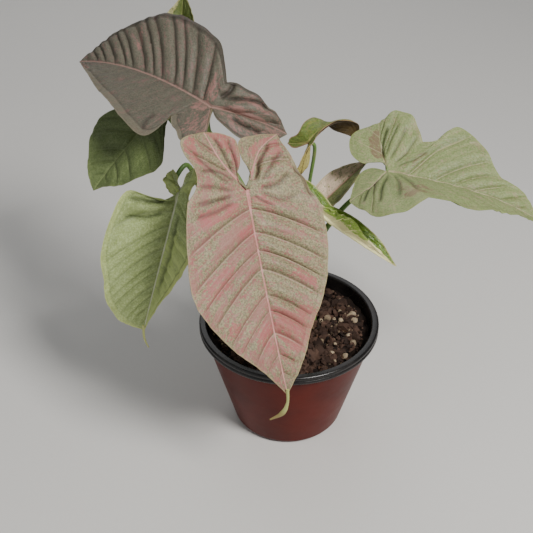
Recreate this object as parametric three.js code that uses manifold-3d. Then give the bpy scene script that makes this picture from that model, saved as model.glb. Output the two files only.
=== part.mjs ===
// Potted arrowhead plant (Syngonium): nine leaf blades on three leafy stems, in soil, in a plastic pot.
// Millimetres, +Z up, origin at the centre of the pot's underside, -Y towards the front.
import * as THREE from "three";
import { mergeVertices } from "three/addons/utils/BufferGeometryUtils.js";
import Module from "manifold-3d";

const wasm = await Module();
wasm.setup();

// ---------- pot and soil ----------
const GAP = 0.3; // between pieces that touch
const SEAT_GAP = 0.5; // between a petiole's end and the blade it carries
const POT = {
  height: 81,
  rimRadius: 60,
  rimDrop: 6,
  rimGroove: 0.8,
  rimRound: 0.8,
  mouthRadius: 55.2,
  neckRadius: 56.4,
  footRadius: 38,
  footRound: 3,
  wall: 1.6,
  floor: 2,
  drainCount: 6,
  drainRadius: 4,
  drainCircle: 24,
  drainSides: 10,
  sides: 44,
};
const SOIL = {
  level: 72.6,
  lump: 1.1,
  edgeDrop: 1.1,
  edgeLump: 0.4,
  sideGap: 0.48,
  rings: 9,
  sectors: 36,
  seed: 11,
  chips: 34,
  chipSize: 3.6,
  chipShare: [0.6, 1.2],
  chipShape: [1.5, 1, 0.8],
  chipTilt: 50,
  chipSunk: 0.3,
  chipClear: 5.4,
  holeSides: 16,
};

// ---------- blades ----------
const BLADE = {
  thickness: 0.9,
  lobeVeins: 3,
  columns: [0, 0.07, 0.3, 0.55, 0.8, 1],
  hinge: 1.2, // the second column stays this far from the midrib, so that a folded blade's walls don't cross
  hingeShare: 0.28, // but no further across than this share
  sinusColumns: [0, 0.5, 1],
  veinBow: 1.3,
  quiltLean: 0.7,
  keel: 1.3,
  lobeKeel: 0.7,
  keelFullAt: 90,
  lobeReach: 40,
};

// A leaf lies flat along u, from where its petiole joins (0, 0) to its tip (length, 0). Each half has
// its own outline, as [u, distance out from the midrib]: neck and lobe are the sinus side and end of the
// basal lobe, cheek its outer side, shoulder the notch where it meets the front lobe, flank the margin
// from there to the tip, and rib the vein down the lobe. Angles are in degrees. fold lifts the half about
// the midrib, at its base and at its tip. lobeLift, lobeFold and lobeDrop lift the lobe's rib, turn the
// tissue outside and inside it, and bend the lobe down behind the petiole. cup bends the half more
// towards its margin, curl rolls the margin itself, quilt is how far the tissue stands up between veins,
// and wave [height, count] ruffles the margin. sweep and notch set where the veins meet the margin: a
// sweep under 1 leans them towards the tip, and notch is the share of the midrib along which the veins
// spread out from the shoulder. curlFrom is how far out the margin's roll starts. A leaf's droop
// [even, late] bends its midrib down towards the tip, and sway moves the tip sideways.
const HALF = {
  rib: [-16, 12],
  fold: [8, 8],
  cup: 0,
  curl: 0,
  lobeLift: 8,
  lobeFold: [8, 8],
  lobeDrop: 20,
  quilt: 0.8,
  wave: [0.8, 3],
  sweep: 0.8,
  notch: 0.01,
  curlFrom: 0.75,
};

const LEAVES = {
  leaf_front: {
    at: [-26, -30, 198],
    turn: { heading: -71, pitch: -57, roll: -12 },
    length: 119,
    droop: [-4, 0],
    veins: 8,
    sway: 0,
    left: {
      ...HALF,
      neck: [[-9, 4], [-19, 1], [-29, 3], [-30, 14]],
      rib: [-20, 12],
      lobe: [-28, 26],
      cheek: [[2, 37], [-16, 30]],
      shoulder: [17, 44],
      flank: [[39, 43], [60, 38], [84, 24], [106, 11]],
      lobeDrop: 27,
      quilt: 1.5,
    },
    right: {
      ...HALF,
      neck: [[-7, 5], [-17, 1], [-28, 1], [-33, 9]],
      rib: [-17, 13],
      lobe: [-35, 21],
      cheek: [[-10, 31], [-31, 37]],
      shoulder: [2, 40],
      flank: [[26, 46], [58, 47], [84, 31], [104, 12]],
      lobeDrop: 6,
      quilt: 1.2,
    },
  },
  leaf_upper_left: {
    at: [-47, 10, 230],
    turn: { heading: 144, pitch: 15, roll: 7 },
    length: 106,
    droop: [19, 12],
    veins: 9,
    sway: 0,
    left: {
      ...HALF,
      neck: [[-6, 9], [-15, 22]],
      rib: [-10, 17],
      lobe: [-19, 34],
      cheek: [[9, 25], [-8, 34]],
      shoulder: [14, 19],
      flank: [[16, 40], [36, 38], [62, 28], [84, 16]],
      fold: [-26, -15],
      lobeLift: -13,
      lobeFold: [-15, -15],
      lobeDrop: 26,
      quilt: 0.4,
      notch: 0.35,
    },
    right: {
      ...HALF,
      neck: [[-9, -4], [-25, 0], [-34, 14]],
      rib: [-18, 12],
      lobe: [-34, 30],
      cheek: [[-4, 22], [-19, 27]],
      shoulder: [1, 18],
      flank: [[20, 38], [48, 44], [72, 36], [93, 16]],
      fold: [56, 45],
      lobeLift: 23,
      lobeFold: [40, 26],
      lobeDrop: 55,
      quilt: 2.2,
      curl: -70,
      curlFrom: 0.78,
    },
  },
  leaf_right: {
    at: [57, 0, 193],
    turn: { heading: -13, pitch: -5, roll: -1 },
    length: 94,
    droop: [0, 25],
    veins: 7,
    sway: 0,
    left: {
      ...HALF,
      neck: [[-4, 6], [-10, 3], [-16, 1], [-24, 7], [-25, 20]],
      rib: [-7, 16],
      lobe: [-11, 31],
      cheek: [[9, 38], [-2, 41]],
      shoulder: [17, 24],
      flank: [[25, 27], [35, 40], [50, 32], [64, 17], [83, 10]],
      fold: [33, 30],
      lobeLift: 35,
      lobeFold: [41, 21],
      lobeDrop: 0,
      quilt: 1.5,
      notch: 0.25,
    },
    right: {
      ...HALF,
      neck: [[-10, -3], [-17, 7]],
      rib: [-9, 17],
      lobe: [-18, 31],
      cheek: [[14, 43], [0, 44]],
      shoulder: [26, 32],
      flank: [[38, 29], [51, 30], [71, 15], [88, 6]],
      fold: [11, 5],
      lobeLift: -13,
      lobeFold: [-12, 0],
      lobeDrop: 13,
      quilt: 0.9,
    },
  },
  leaf_left: {
    at: [-81, 42, 214],
    turn: { heading: 218, pitch: -34, roll: -4 },
    length: 66,
    droop: [3, 8],
    veins: 6,
    sway: 0,
    left: {
      ...HALF,
      neck: [[-6, 2], [-12, 3]],
      rib: [-9, 6],
      lobe: [-17, 7],
      cheek: [[4, 13], [-7, 10]],
      shoulder: [13, 20],
      flank: [[27, 34], [41, 30], [55, 16], [61, 5]],
      fold: [2, 10],
    },
    right: {
      ...HALF,
      neck: [[-6, 2], [-14, 4]],
      rib: [-12, 8],
      lobe: [-23, 10],
      cheek: [[-3, 21], [-15, 17]],
      shoulder: [13, 23],
      flank: [[29, 30], [42, 25], [54, 16], [62, 7]],
      fold: [11, 12],
      quilt: 0.9,
    },
  },
  leaf_lower_left: {
    at: [-67, -5, 184],
    turn: { heading: -120, pitch: -59, roll: -6 },
    length: 92,
    droop: [4, 8],
    veins: 7,
    sway: -3.5,
    left: {
      ...HALF,
      neck: [[-4, 2], [-9, 3]],
      rib: [-7, 6],
      lobe: [-14, 7],
      cheek: [[0, 10], [-9, 13]],
      shoulder: [6, 13],
      flank: [[17, 17], [28, 29], [47, 24], [73, 8]],
      fold: [32, 26],
      lobeLift: 20,
      lobeFold: [20, 10],
      lobeDrop: 10,
    },
    right: {
      ...HALF,
      neck: [[-3, 2], [-7, 3]],
      rib: [-5, 5],
      lobe: [-10, 7],
      cheek: [[3, 6], [-3, 11]],
      shoulder: [5, 2],
      flank: [[9, 8], [9, 19], [10, 31], [28, 36], [50, 36], [73, 29], [88, 19]],
      fold: [20, 11],
      lobeLift: 10,
      lobeFold: [10, 10],
      lobeDrop: 10,
      quilt: 1.1,
      wave: [1.2, 4],
      sweep: 0.5,
      notch: 0.3,
    },
  },
  leaf_top: {
    at: [-71, 63, 232],
    turn: { heading: 73, pitch: 66, roll: 4 },
    length: 45,
    droop: [-4, 1],
    veins: 4,
    sway: 0,
    left: {
      ...HALF,
      neck: [[-4, 2], [-7, 4]],
      rib: [-5, 6],
      lobe: [-10, 9],
      cheek: [[-1, 12], [-7, 12]],
      shoulder: [5, 12],
      flank: [[13, 14], [21, 14], [31, 10], [39, 4]],
      fold: [35, 35],
      lobeLift: 30,
      lobeFold: [30, 30],
      quilt: 0.3,
      wave: [0.3, 2],
    },
    right: {
      ...HALF,
      neck: [[-4, 2], [-7, 4]],
      rib: [-5, 6],
      lobe: [-10, 9],
      cheek: [[-1, 12], [-7, 12]],
      shoulder: [5, 12],
      flank: [[13, 14], [23, 14], [31, 12], [39, 6]],
      fold: [35, 35],
      lobeLift: 30,
      lobeFold: [30, 30],
      quilt: 0.3,
      wave: [0.3, 2],
    },
  },
  leaf_arched: {
    at: [11, 20, 202],
    turn: { heading: 27, pitch: 51, roll: 0 },
    length: 49,
    droop: [72, 93],
    veins: 4,
    sway: 0,
    left: {
      ...HALF,
      neck: [[-5, 3], [-9, 8]],
      rib: [-5, 7],
      lobe: [-9, 14],
      cheek: [[-1, 11], [-5, 14]],
      shoulder: [2, 11],
      flank: [[9, 15], [18, 17], [28, 15], [38, 9]],
      fold: [14, -110],
      lobeLift: 12,
      quilt: 0.3,
      wave: [0.3, 2],
    },
    right: {
      ...HALF,
      neck: [[-4, -1], [-12, 1]],
      rib: [-9, 5],
      lobe: [-18, 10],
      cheek: [[-6, 9], [-14, 13]],
      shoulder: [1, 7],
      flank: [[6, 5], [14, 3], [24, 4], [35, 4]],
      fold: [20, 30],
      lobeLift: 20,
      lobeFold: [69, 130],
      lobeDrop: 66,
      quilt: 0.3,
      wave: [0.3, 2],
    },
  },
  leaf_young: {
    at: [14, -8, 171],
    turn: { heading: -22, pitch: -29, roll: 0 },
    length: 60,
    droop: [-2, -2],
    veins: 5,
    sway: 0,
    left: {
      ...HALF,
      neck: [[-7, 2], [-17, 3]],
      rib: [-11, 5],
      lobe: [-24, 8],
      cheek: [[-6, 12], [-16, 12]],
      shoulder: [7, 8],
      flank: [[21, 10], [31, 10], [42, 8], [52, 4]],
      fold: [50, 45],
      lobeLift: 40,
      lobeFold: [40, 40],
      quilt: 0.3,
      wave: [0.3, 2],
    },
    right: {
      ...HALF,
      neck: [[-7, 2], [-17, 3]],
      rib: [-11, 5],
      lobe: [-24, 8],
      cheek: [[-6, 12], [-16, 12]],
      shoulder: [5, 8],
      flank: [[14, 11], [23, 14], [36, 7], [49, 3]],
      fold: [74, 65],
      lobeLift: 50,
      lobeFold: [60, 60],
      quilt: 0.5,
      wave: [0.3, 2],
    },
  },
  leaf_pink: {
    at: [16, 12, 159],
    turn: { heading: 29, pitch: 35, roll: 9 },
    length: 45,
    droop: [3, 3],
    veins: 4,
    sway: 0,
    left: {
      ...HALF,
      neck: [[-7, 2], [-14, 3]],
      rib: [-11, 6],
      lobe: [-21, 9],
      cheek: [[-6, 14], [-15, 13]],
      shoulder: [4, 10],
      flank: [[14, 11], [23, 11], [31, 8], [39, 4]],
      fold: [24, 24],
      lobeLift: 20,
      lobeFold: [20, 20],
      quilt: 0.3,
      wave: [0.3, 2],
    },
    right: {
      ...HALF,
      neck: [[-7, 2], [-14, 3]],
      rib: [-11, 6],
      lobe: [-21, 9],
      cheek: [[-6, 14], [-15, 13]],
      shoulder: [5, 10],
      flank: [[13, 10], [21, 9], [29, 7], [38, 3]],
      fold: [12, 20],
      lobeLift: 20,
      lobeFold: [20, 20],
      quilt: 0.3,
      wave: [0.3, 2],
    },
  },
};

// Withered thread-like ends that hang from two of the tips: points from the tip, and the radius along them.
const DRIP_TIPS = {
  leaf_front: { route: [[0, 0, 4], [1, 0, -8], [-1, 1, -17], [-7, 2, -23]], radii: [1, 0.8, 1.6, 0.5] },
  leaf_lower_left: { route: [[0, 0, 4], [0, 0, -7], [2, 0, -14]], radii: [0.9, 0.8, 0.5] },
};
const DRIP = { sides: 6, steps: 7 };

// ---------- leafy stems ----------
const STEM = {
  radius: 4.2,
  topShare: 0.5,
  foot: 52,
  collar: 4,
  sides: 8,
  steps: 4,
  petioleRadii: [2.6, 2.1, 1.4],
  petioleSides: 7,
  petioleSteps: 12,
  approachShare: 0.08,
};

// Each stem: where it leaves the soil, its own height, and the petioles on it by the leaf they carry,
// with the points each passes on the way up.
const STEMS = {
  stem_left: {
    foot: [-12, -2],
    top: 92,
    petioles: {
      leaf_front: [[-12, -2, 80], [-17, 6, 120], [-26, 4, 160]],
      leaf_upper_left: [[-12, -2, 74], [-22, 14, 120], [-40, 18, 175]],
      leaf_lower_left: [[-12, -2, 70], [-30, 6, 118], [-54, 14, 165], [-64, 13, 190]],
    },
  },
  stem_back: {
    foot: [-8, 24],
    top: 88,
    petioles: {
      leaf_left: [[-8, 24, 74], [-28, 36, 125], [-58, 46, 175]],
      leaf_top: [[-8, 24, 80], [-24, 46, 140], [-56, 64, 195]],
    },
  },
  stem_right: {
    foot: [15, 8],
    top: 94,
    petioles: {
      leaf_right: [[15, 8, 74], [17, 3, 118], [18, -4, 146], [27, 0, 160], [40, 5, 172]],
      leaf_arched: [[15, 8, 82], [14, 24, 125], [12, 29, 160]],
      leaf_young: [[15, 8, 78], [12, -6, 118], [8, -10, 150]],
      leaf_pink: [[15, 8, 86], [17, 14, 115], [15, 17, 138]],
    },
  },
};

// ---------- colours ----------
const COLOUR = {
  pot: 0x6e2c1f,
  soil: 0x3a2a1e,
  stem: 0x6f9a4b,
  leaf_front: 0xb99a90,
  leaf_upper_left: 0xa3968c,
  leaf_right: 0xa9bb8f,
  leaf_left: 0x5f7f45,
  leaf_lower_left: 0x93ac6c,
  leaf_top: 0x6b8248,
  leaf_arched: 0x9cae62,
  leaf_young: 0xa5ba62,
  leaf_pink: 0xc5a18f,
};

// ---------- solids and meshes ----------
const rad = THREE.MathUtils.degToRad;
const { lerp, smoothstep } = THREE.MathUtils;
const group = new THREE.Group();
group.name = "arrowhead_plant";

function addMesh(name, geometry, colour, roughness) {
  geometry.computeVertexNormals();
  const material = new THREE.MeshStandardMaterial({ color: colour, roughness });
  const mesh = new THREE.Mesh(geometry, material);
  mesh.name = name;
  group.add(mesh);
}

function toSolid(geometry) {
  const bare = geometry.clone();
  bare.deleteAttribute("normal");
  bare.deleteAttribute("uv");
  const merged = mergeVertices(bare, 1e-4);
  const triVerts = new Uint32Array(merged.index.array);
  const vertProperties = merged.attributes.position.array;
  return new wasm.Manifold(new wasm.Mesh({ numProp: 3, vertProperties, triVerts }));
}

function toGeometry(solid) {
  const mesh = solid.getMesh();
  const geometry = new THREE.BufferGeometry();
  geometry.setAttribute("position", new THREE.BufferAttribute(new Float32Array(mesh.vertProperties), 3));
  geometry.setIndex(new THREE.BufferAttribute(new Uint32Array(mesh.triVerts), 1));
  return geometry;
}

function indexedGeometry(points, faces) {
  const geometry = new THREE.BufferGeometry();
  const position = new Float32Array(points.flatMap((p) => [p.x, p.y, p.z]));
  geometry.setAttribute("position", new THREE.BufferAttribute(position, 3));
  geometry.setIndex(faces.flat());
  return geometry;
}

// Seeded draws, so that every build is the same.
function seeded(seed) {
  let state = seed;
  return () => {
    state = (state * 1664525 + 1013904223) % 4294967296;
    return state / 4294967296;
  };
}

// A round bar through the points, whose radius runs through the radii along its length.
function taperedBar(points, radii, sides, steps) {
  const curve = new THREE.CatmullRomCurve3(points);
  const corners = Array.from({ length: sides }, (_, j) => {
    const a = (j / sides) * Math.PI * 2;
    return new THREE.Vector2(Math.cos(a), Math.sin(a));
  });
  const bar = new THREE.ExtrudeGeometry(new THREE.Shape(corners), { steps, extrudePath: curve });
  const centres = curve.getSpacedPoints(steps);
  const radiusAt = (k) => {
    const along = (k / steps) * (radii.length - 1);
    const before = Math.min(Math.floor(along), radii.length - 2);
    return lerp(radii[before], radii[before + 1], along - before);
  };
  const position = bar.getAttribute("position");
  const corner = new THREE.Vector3();
  for (let i = 0; i < position.count; i++) {
    corner.fromBufferAttribute(position, i);
    const distances = centres.map((centre) => centre.distanceTo(corner));
    const k = distances.indexOf(Math.min(...distances));
    corner.sub(centres[k]).multiplyScalar(radiusAt(k)).add(centres[k]);
    position.setXYZ(i, corner.x, corner.y, corner.z);
  }
  return bar;
}

// An upright cylinder from one height to another.
function drill([x, y], radius, from, to, sides) {
  const height = to - from;
  const cylinder = new THREE.CylinderGeometry(radius, radius, height, sides);
  return toSolid(cylinder.rotateX(Math.PI / 2).translate(x, y, from + height / 2));
}

// ---------- pot ----------
const neckHeight = POT.height - POT.rimDrop - 1; // where the wall ends and the rim steps out

function buildPot() {
  const { height, rimRadius, rimDrop, rimGroove, rimRound, mouthRadius } = POT;
  const { neckRadius, footRadius, footRound, wall, floor } = POT;
  const groove = height - rimDrop / 2;
  const profile = [
    [0, 0],
    [footRadius - footRound, 0],
    [footRadius - footRound * 0.3, footRound * 0.3],
    [footRadius, footRound],
    [neckRadius, neckHeight],
    [rimRadius - rimRound, height - rimDrop],
    [rimRadius, height - rimDrop + rimRound],
    [rimRadius, groove - rimGroove],
    [rimRadius - rimGroove, groove],
    [rimRadius, groove + rimGroove],
    [rimRadius, height - rimRound],
    [rimRadius - rimRound, height],
    [mouthRadius + rimRound, height],
    [mouthRadius, height - rimRound],
    [neckRadius - wall, neckHeight],
    [footRadius - wall, floor + footRound],
    [footRadius - wall - footRound, floor],
    [0, floor],
  ].map(([r, z]) => new THREE.Vector2(r, z));
  const shell = new THREE.LatheGeometry(profile, POT.sides).rotateX(Math.PI / 2);
  let pot = toSolid(shell);
  for (let i = 0; i < POT.drainCount; i++) {
    const a = ((i + 0.5) / POT.drainCount) * Math.PI * 2;
    const centre = [POT.drainCircle * Math.cos(a), POT.drainCircle * Math.sin(a)];
    pot = pot.subtract(drill(centre, POT.drainRadius, -floor, floor * 2, POT.drainSides));
  }
  addMesh("pot", toGeometry(pot), COLOUR.pot, 0.4);
}

// Radius of the pot's inner wall at a height.
function potInside(z) {
  const { footRadius, neckRadius, wall, floor, footRound } = POT;
  const low = floor + footRound;
  return lerp(footRadius - wall, neckRadius - wall, (z - low) / (neckHeight - low));
}

// ---------- soil ----------
// The bed of soil: rings of points out from its middle, over the edge and down to the pot's floor.
function soilBed(random) {
  const { level, lump, edgeDrop, edgeLump, sideGap, rings, sectors } = SOIL;
  const bottom = POT.floor + GAP;
  const lowCorner = POT.floor + POT.footRound + GAP;
  const edge = potInside(level - edgeDrop) - sideGap;
  const points = [new THREE.Vector3(0, 0, level)];
  const faces = [];
  const ring = (radius, height, rough) => {
    for (let j = 0; j < sectors; j++) {
      const a = (j / sectors) * Math.PI * 2;
      const z = height + (random() * 2 - 1) * rough;
      points.push(new THREE.Vector3(radius * Math.cos(a), radius * Math.sin(a), z));
    }
  };
  for (let i = 1; i < rings; i++) ring((edge * i) / rings, level, lump);
  ring(edge, level - edgeDrop, edgeLump);
  ring(potInside(lowCorner) - sideGap, lowCorner, 0);
  ring(POT.footRadius - POT.wall - POT.footRound - GAP, bottom, 0);
  const total = rings + 2;
  const centreBelow = points.push(new THREE.Vector3(0, 0, bottom)) - 1;
  for (let j = 0; j < sectors; j++) {
    const next = (j + 1) % sectors;
    faces.push([0, 1 + j, 1 + next]);
    for (let i = 0; i < total - 1; i++) {
      const a = 1 + i * sectors + j;
      const b = 1 + i * sectors + next;
      faces.push([a, a + sectors, b + sectors], [a, b + sectors, b]);
    }
    const outer = 1 + (total - 1) * sectors;
    faces.push([centreBelow, outer + next, outer + j]);
  }
  return toSolid(indexedGeometry(points, faces));
}

// One bark chip, turned at random and sunk into the bed.
function soilChip(random, [x, y]) {
  const { level, chipSize, chipShare, chipShape, chipTilt, chipSunk } = SOIL;
  const size = chipSize * lerp(...chipShare, random());
  const chip = new THREE.BoxGeometry(...chipShape.map((share) => share * size));
  chip.rotateX(rad(random() * chipTilt));
  chip.rotateY(rad(random() * chipTilt));
  chip.rotateZ(random() * Math.PI * 2);
  return toSolid(chip.translate(x, y, level - chipSunk));
}

function buildSoil() {
  const { level, edgeDrop, sideGap, seed, chips, chipSize, chipShape, chipClear, holeSides } = SOIL;
  const random = seeded(seed);
  const feet = Object.values(STEMS).map(({ foot }) => foot);
  const reach = potInside(level - edgeDrop) - sideGap - chipSize * chipShape[0];
  let soil = soilBed(random);
  for (let i = 0; i < chips; i++) {
    const radius = Math.sqrt(random()) * reach;
    const a = random() * Math.PI * 2;
    const spot = [radius * Math.cos(a), radius * Math.sin(a)];
    const nearest = Math.min(...feet.map(([x, y]) => Math.hypot(x - spot[0], y - spot[1])));
    if (nearest > STEM.radius + chipClear) soil = soil.add(soilChip(random, spot));
  }
  for (const foot of feet) {
    soil = soil.subtract(drill(foot, STEM.radius + GAP, STEM.foot - GAP, level * 2, holeSides));
  }
  addMesh("soil", toGeometry(soil), COLOUR.soil, 1);
}

// ---------- blades ----------
// An outline or rib through its points, read by the share of its length.
function path(points) {
  const curve = new THREE.SplineCurve(points.map(([u, v]) => new THREE.Vector2(u, v)));
  return (share) => curve.getPointAt(share);
}

// How the midrib line bends along u: position and slope, as cumulative sums from the petiole both ways.
function midribBend(leaf, half) {
  const [even, late] = leaf.droop.map(rad);
  const step = 1;
  const slopeAt = (u) => {
    const s = u / leaf.length;
    return u > 0 ? -(even * s + late * s * s) : (rad(half.lobeDrop) * -u) / BLADE.lobeReach;
  };
  const walk = (u) => {
    const count = Math.max(1, Math.ceil(Math.abs(u) / step));
    const du = u / count;
    let x = 0;
    let z = 0;
    for (let i = 0; i < count; i++) {
      const slope = slopeAt(du * (i + 0.5));
      x += Math.cos(slope) * du;
      z += Math.sin(slope) * du;
    }
    return { x, z, slope: slopeAt(u) };
  };
  return walk;
}

// The middle surface of one half: point(zone, share, w) for the zones front, lobe and sinus, where share
// runs along the midrib or lobe rib and w from there (0) to the margin (1).
function halfSurface(leaf, half, sign) {
  const end = [leaf.length, 0];
  const margins = {
    front: path([half.shoulder, ...half.flank, end]),
    lobe: path([half.shoulder, ...half.cheek, half.lobe]),
    sinus: path([[0, 0], ...half.neck, half.lobe]),
  };
  const rib = path([[0, 0], half.rib, half.lobe]);
  const bend = midribBend(leaf, half);
  const { heading, pitch, roll } = leaf.turn;
  const turn = new THREE.Euler(rad(roll), rad(-pitch), rad(heading), "ZYX");
  const place = new THREE.Vector3(...leaf.at);
  const steps = 10;

  function tiltAt(zone, share, w) {
    if (zone === "sinus") return rad(half.lobeFold[1]);
    const end = zone === "front" ? half.fold[1] : half.lobeFold[0];
    const roll = half.cup * w + half.curl * smoothstep(w, half.curlFrom, 1);
    return rad(lerp(half.fold[0], end, share) + roll);
  }

  return (zone, share, w) => {
    const front = zone === "front";
    const start = front ? new THREE.Vector2(share * leaf.length, 0) : rib(share);
    const reached = front ? share ** half.sweep * smoothstep(share, 0, half.notch) : share;
    const stop = margins[zone](reached);
    const span = stop.clone().sub(start);
    let out = 0;
    let lift = 0;
    for (let i = 0; i < steps; i++) {
      const tilt = tiltAt(zone, share, (w * (i + 0.5)) / steps);
      out += (Math.cos(tilt) * span.y * w) / steps;
      lift += (Math.sin(tilt) * span.y * w) / steps;
    }
    if (!front) {
      out += start.y * Math.cos(rad(half.lobeLift));
      lift += start.y * Math.sin(rad(half.lobeLift));
    }
    const u = start.x + span.x * w ** BLADE.veinBow;
    lift += relief(half, front ? leaf.veins : BLADE.lobeVeins, zone, share, w);
    const at = bend(u);
    const along = Math.max(u / leaf.length, 0);
    return new THREE.Vector3(
      at.x - lift * Math.sin(at.slope),
      sign * out + leaf.sway * along * along,
      at.z + lift * Math.cos(at.slope),
    )
      .applyEuler(turn)
      .add(place);
  };
}

// Tissue standing up between the veins, and the ruffle of the margin.
function relief(half, veins, zone, share, w) {
  if (zone === "sinus") return 0;
  const between = (1 - Math.cos(share * veins * Math.PI * 2)) / 2;
  const across = Math.sin(Math.PI * w ** BLADE.quiltLean);
  const fade = zone === "front" ? 1 - share ** 3 : 1 - share;
  const [height, count] = half.wave;
  const ruffle = height * w ** 3 * Math.sin(share * count * Math.PI * 2) * Math.sin(Math.PI * share);
  return half.quilt * between * across * fade + ruffle;
}

// Points of the middle surface joined where they meet, each with how much keel stands under it.
function makeSheet(leaf) {
  const points = [];
  const keels = [];
  const faces = [];
  const seen = new Map();
  const index = (point, keel) => {
    const key = [point.x, point.y, point.z].map((c) => Math.round(c * 200)).join();
    if (!seen.has(key)) {
      seen.set(key, points.push(point) - 1);
      keels.push(keel);
    }
    const i = seen.get(key);
    keels[i] = Math.max(keels[i], keel);
    return i;
  };
  const face = (a, b, c, flip) => {
    if (a === b || b === c || c === a) return;
    faces.push(flip ? [a, c, b] : [a, b, c]);
  };
  const patch = (surface, zone, rows, columns, keelAt, flip) => {
    const grid = [];
    for (let i = 0; i <= rows; i++) {
      const share = i / rows;
      const reach = surface(zone, share, 0).distanceTo(surface(zone, share, 1));
      const clear = Math.min(BLADE.hinge / reach, BLADE.hingeShare);
      const onRib = index(surface(zone, share, 0), keelAt(share));
      const across = columns.slice(1).map((w) => index(surface(zone, share, Math.max(w, clear)), 0));
      grid.push([onRib, ...across]);
    }
    for (let i = 0; i < rows; i++) {
      for (let j = 0; j < columns.length - 1; j++) {
        face(grid[i][j], grid[i + 1][j], grid[i + 1][j + 1], flip);
        face(grid[i][j], grid[i + 1][j + 1], grid[i][j + 1], flip);
      }
    }
  };
  for (const [half, sign] of [[leaf.left, 1], [leaf.right, -1]]) {
    const surface = halfSurface(leaf, half, sign);
    const flip = sign < 0;
    const keel = (s) => BLADE.keel * (1 - s ** 2) * Math.min(1, leaf.length / BLADE.keelFullAt);
    const lobeKeel = (s) => BLADE.lobeKeel * (1 - s);
    patch(surface, "front", leaf.veins * 2, BLADE.columns, keel, flip);
    patch(surface, "lobe", BLADE.lobeVeins * 2, BLADE.columns, lobeKeel, !flip);
    patch(surface, "sinus", BLADE.lobeVeins * 2, BLADE.sinusColumns, lobeKeel, flip);
  }
  return { points, keels, faces };
}

function vertexNormals(points, faces) {
  const normals = points.map(() => new THREE.Vector3());
  for (const [a, b, c] of faces) {
    const ab = points[b].clone().sub(points[a]);
    const ac = points[c].clone().sub(points[a]);
    const n = ab.cross(ac);
    for (const i of [a, b, c]) normals[i].add(n);
  }
  return normals.map((n) => n.normalize());
}

// Which way the sheet thickens at each point: its normal, leaning towards those around it so that the two
// walls of a fold don't run into each other.
function thicknessWays(points, faces) {
  const normals = vertexNormals(points, faces);
  const around = points.map(() => new THREE.Vector3());
  for (const corners of faces) {
    const sum = new THREE.Vector3();
    for (const i of corners) sum.add(normals[i]);
    for (const i of corners) around[i].add(sum);
  }
  return normals.map((n, i) => n.clone().add(around[i].normalize()).normalize());
}

// The sheet given its thickness: both faces split alike, and a wall round the margin.
function thicken({ points, keels, faces }) {
  const normals = thicknessWays(points, faces);
  const half = BLADE.thickness / 2;
  const top = points.map((p, i) => p.clone().addScaledVector(normals[i], half));
  const below = points.map((p, i) => p.clone().addScaledVector(normals[i], -half - keels[i]));
  const n = points.length;
  const all = faces.flatMap(([a, b, c]) => [[a, b, c], [a + n, c + n, b + n]]);
  const edges = new Set(faces.flatMap(([a, b, c]) => [`${a},${b}`, `${b},${c}`, `${c},${a}`]));
  for (const edge of edges) {
    const [a, b] = edge.split(",").map(Number);
    if (edges.has(`${b},${a}`)) continue;
    all.push([a, a + n, b + n], [a, b + n, b]);
  }
  return indexedGeometry([...top, ...below], all);
}

// Where the petiole meets the underside, and the way it comes in.
function leafSeat(leaf) {
  const { points, keels, faces } = makeSheet(leaf);
  const home = new THREE.Vector3(...leaf.at);
  const i = points.findIndex((p) => p.distanceTo(home) < 0.05);
  const normal = thicknessWays(points, faces)[i];
  return { normal, under: home.addScaledVector(normal, -BLADE.thickness / 2 - keels[i]) };
}

function buildLeaf(name) {
  const leaf = LEAVES[name];
  let solid = toSolid(thicken(makeSheet(leaf)));
  const drip = DRIP_TIPS[name];
  if (drip) {
    const tip = halfSurface(leaf, leaf.left, 1)("front", 1, 0);
    const points = drip.route.map((step) => tip.clone().add(new THREE.Vector3(...step)));
    solid = solid.add(toSolid(taperedBar(points, drip.radii, DRIP.sides, DRIP.steps)));
  }
  addMesh(name, toGeometry(solid), COLOUR[name], 0.55);
}

// ---------- stems ----------
function buildStem(name) {
  const { foot, top, petioles } = STEMS[name];
  const { radius, topShare, collar, petioleRadii, petioleSides, petioleSteps } = STEM;
  const axis = [STEM.foot, SOIL.level + collar, top].map((z) => new THREE.Vector3(...foot, z));
  let stem = toSolid(taperedBar(axis, [radius, radius, radius * topShare], STEM.sides, STEM.steps));
  for (const [leafName, route] of Object.entries(petioles)) {
    const leaf = LEAVES[leafName];
    const { normal, under } = leafSeat(leaf);
    const points = route.map((p) => new THREE.Vector3(...p));
    points.push(under.clone().addScaledVector(normal, -leaf.length * STEM.approachShare));
    points.push(under.clone().addScaledVector(normal, -SEAT_GAP));
    stem = stem.add(toSolid(taperedBar(points, petioleRadii, petioleSides, petioleSteps)));
  }
  addMesh(name, toGeometry(stem), COLOUR.stem, 0.5);
}

buildPot();
buildSoil();
for (const name of Object.keys(STEMS)) buildStem(name);
for (const name of Object.keys(LEAVES)) buildLeaf(name);

export default group;
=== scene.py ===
"""Looks of the potted arrowhead plant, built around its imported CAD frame.

Sizes are millimetres here, turned into metres where a mesh is made. +Z is up, -Y is towards the front.
"""
import math

import bpy
import numpy as np
from mathutils import Matrix, Vector


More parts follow.
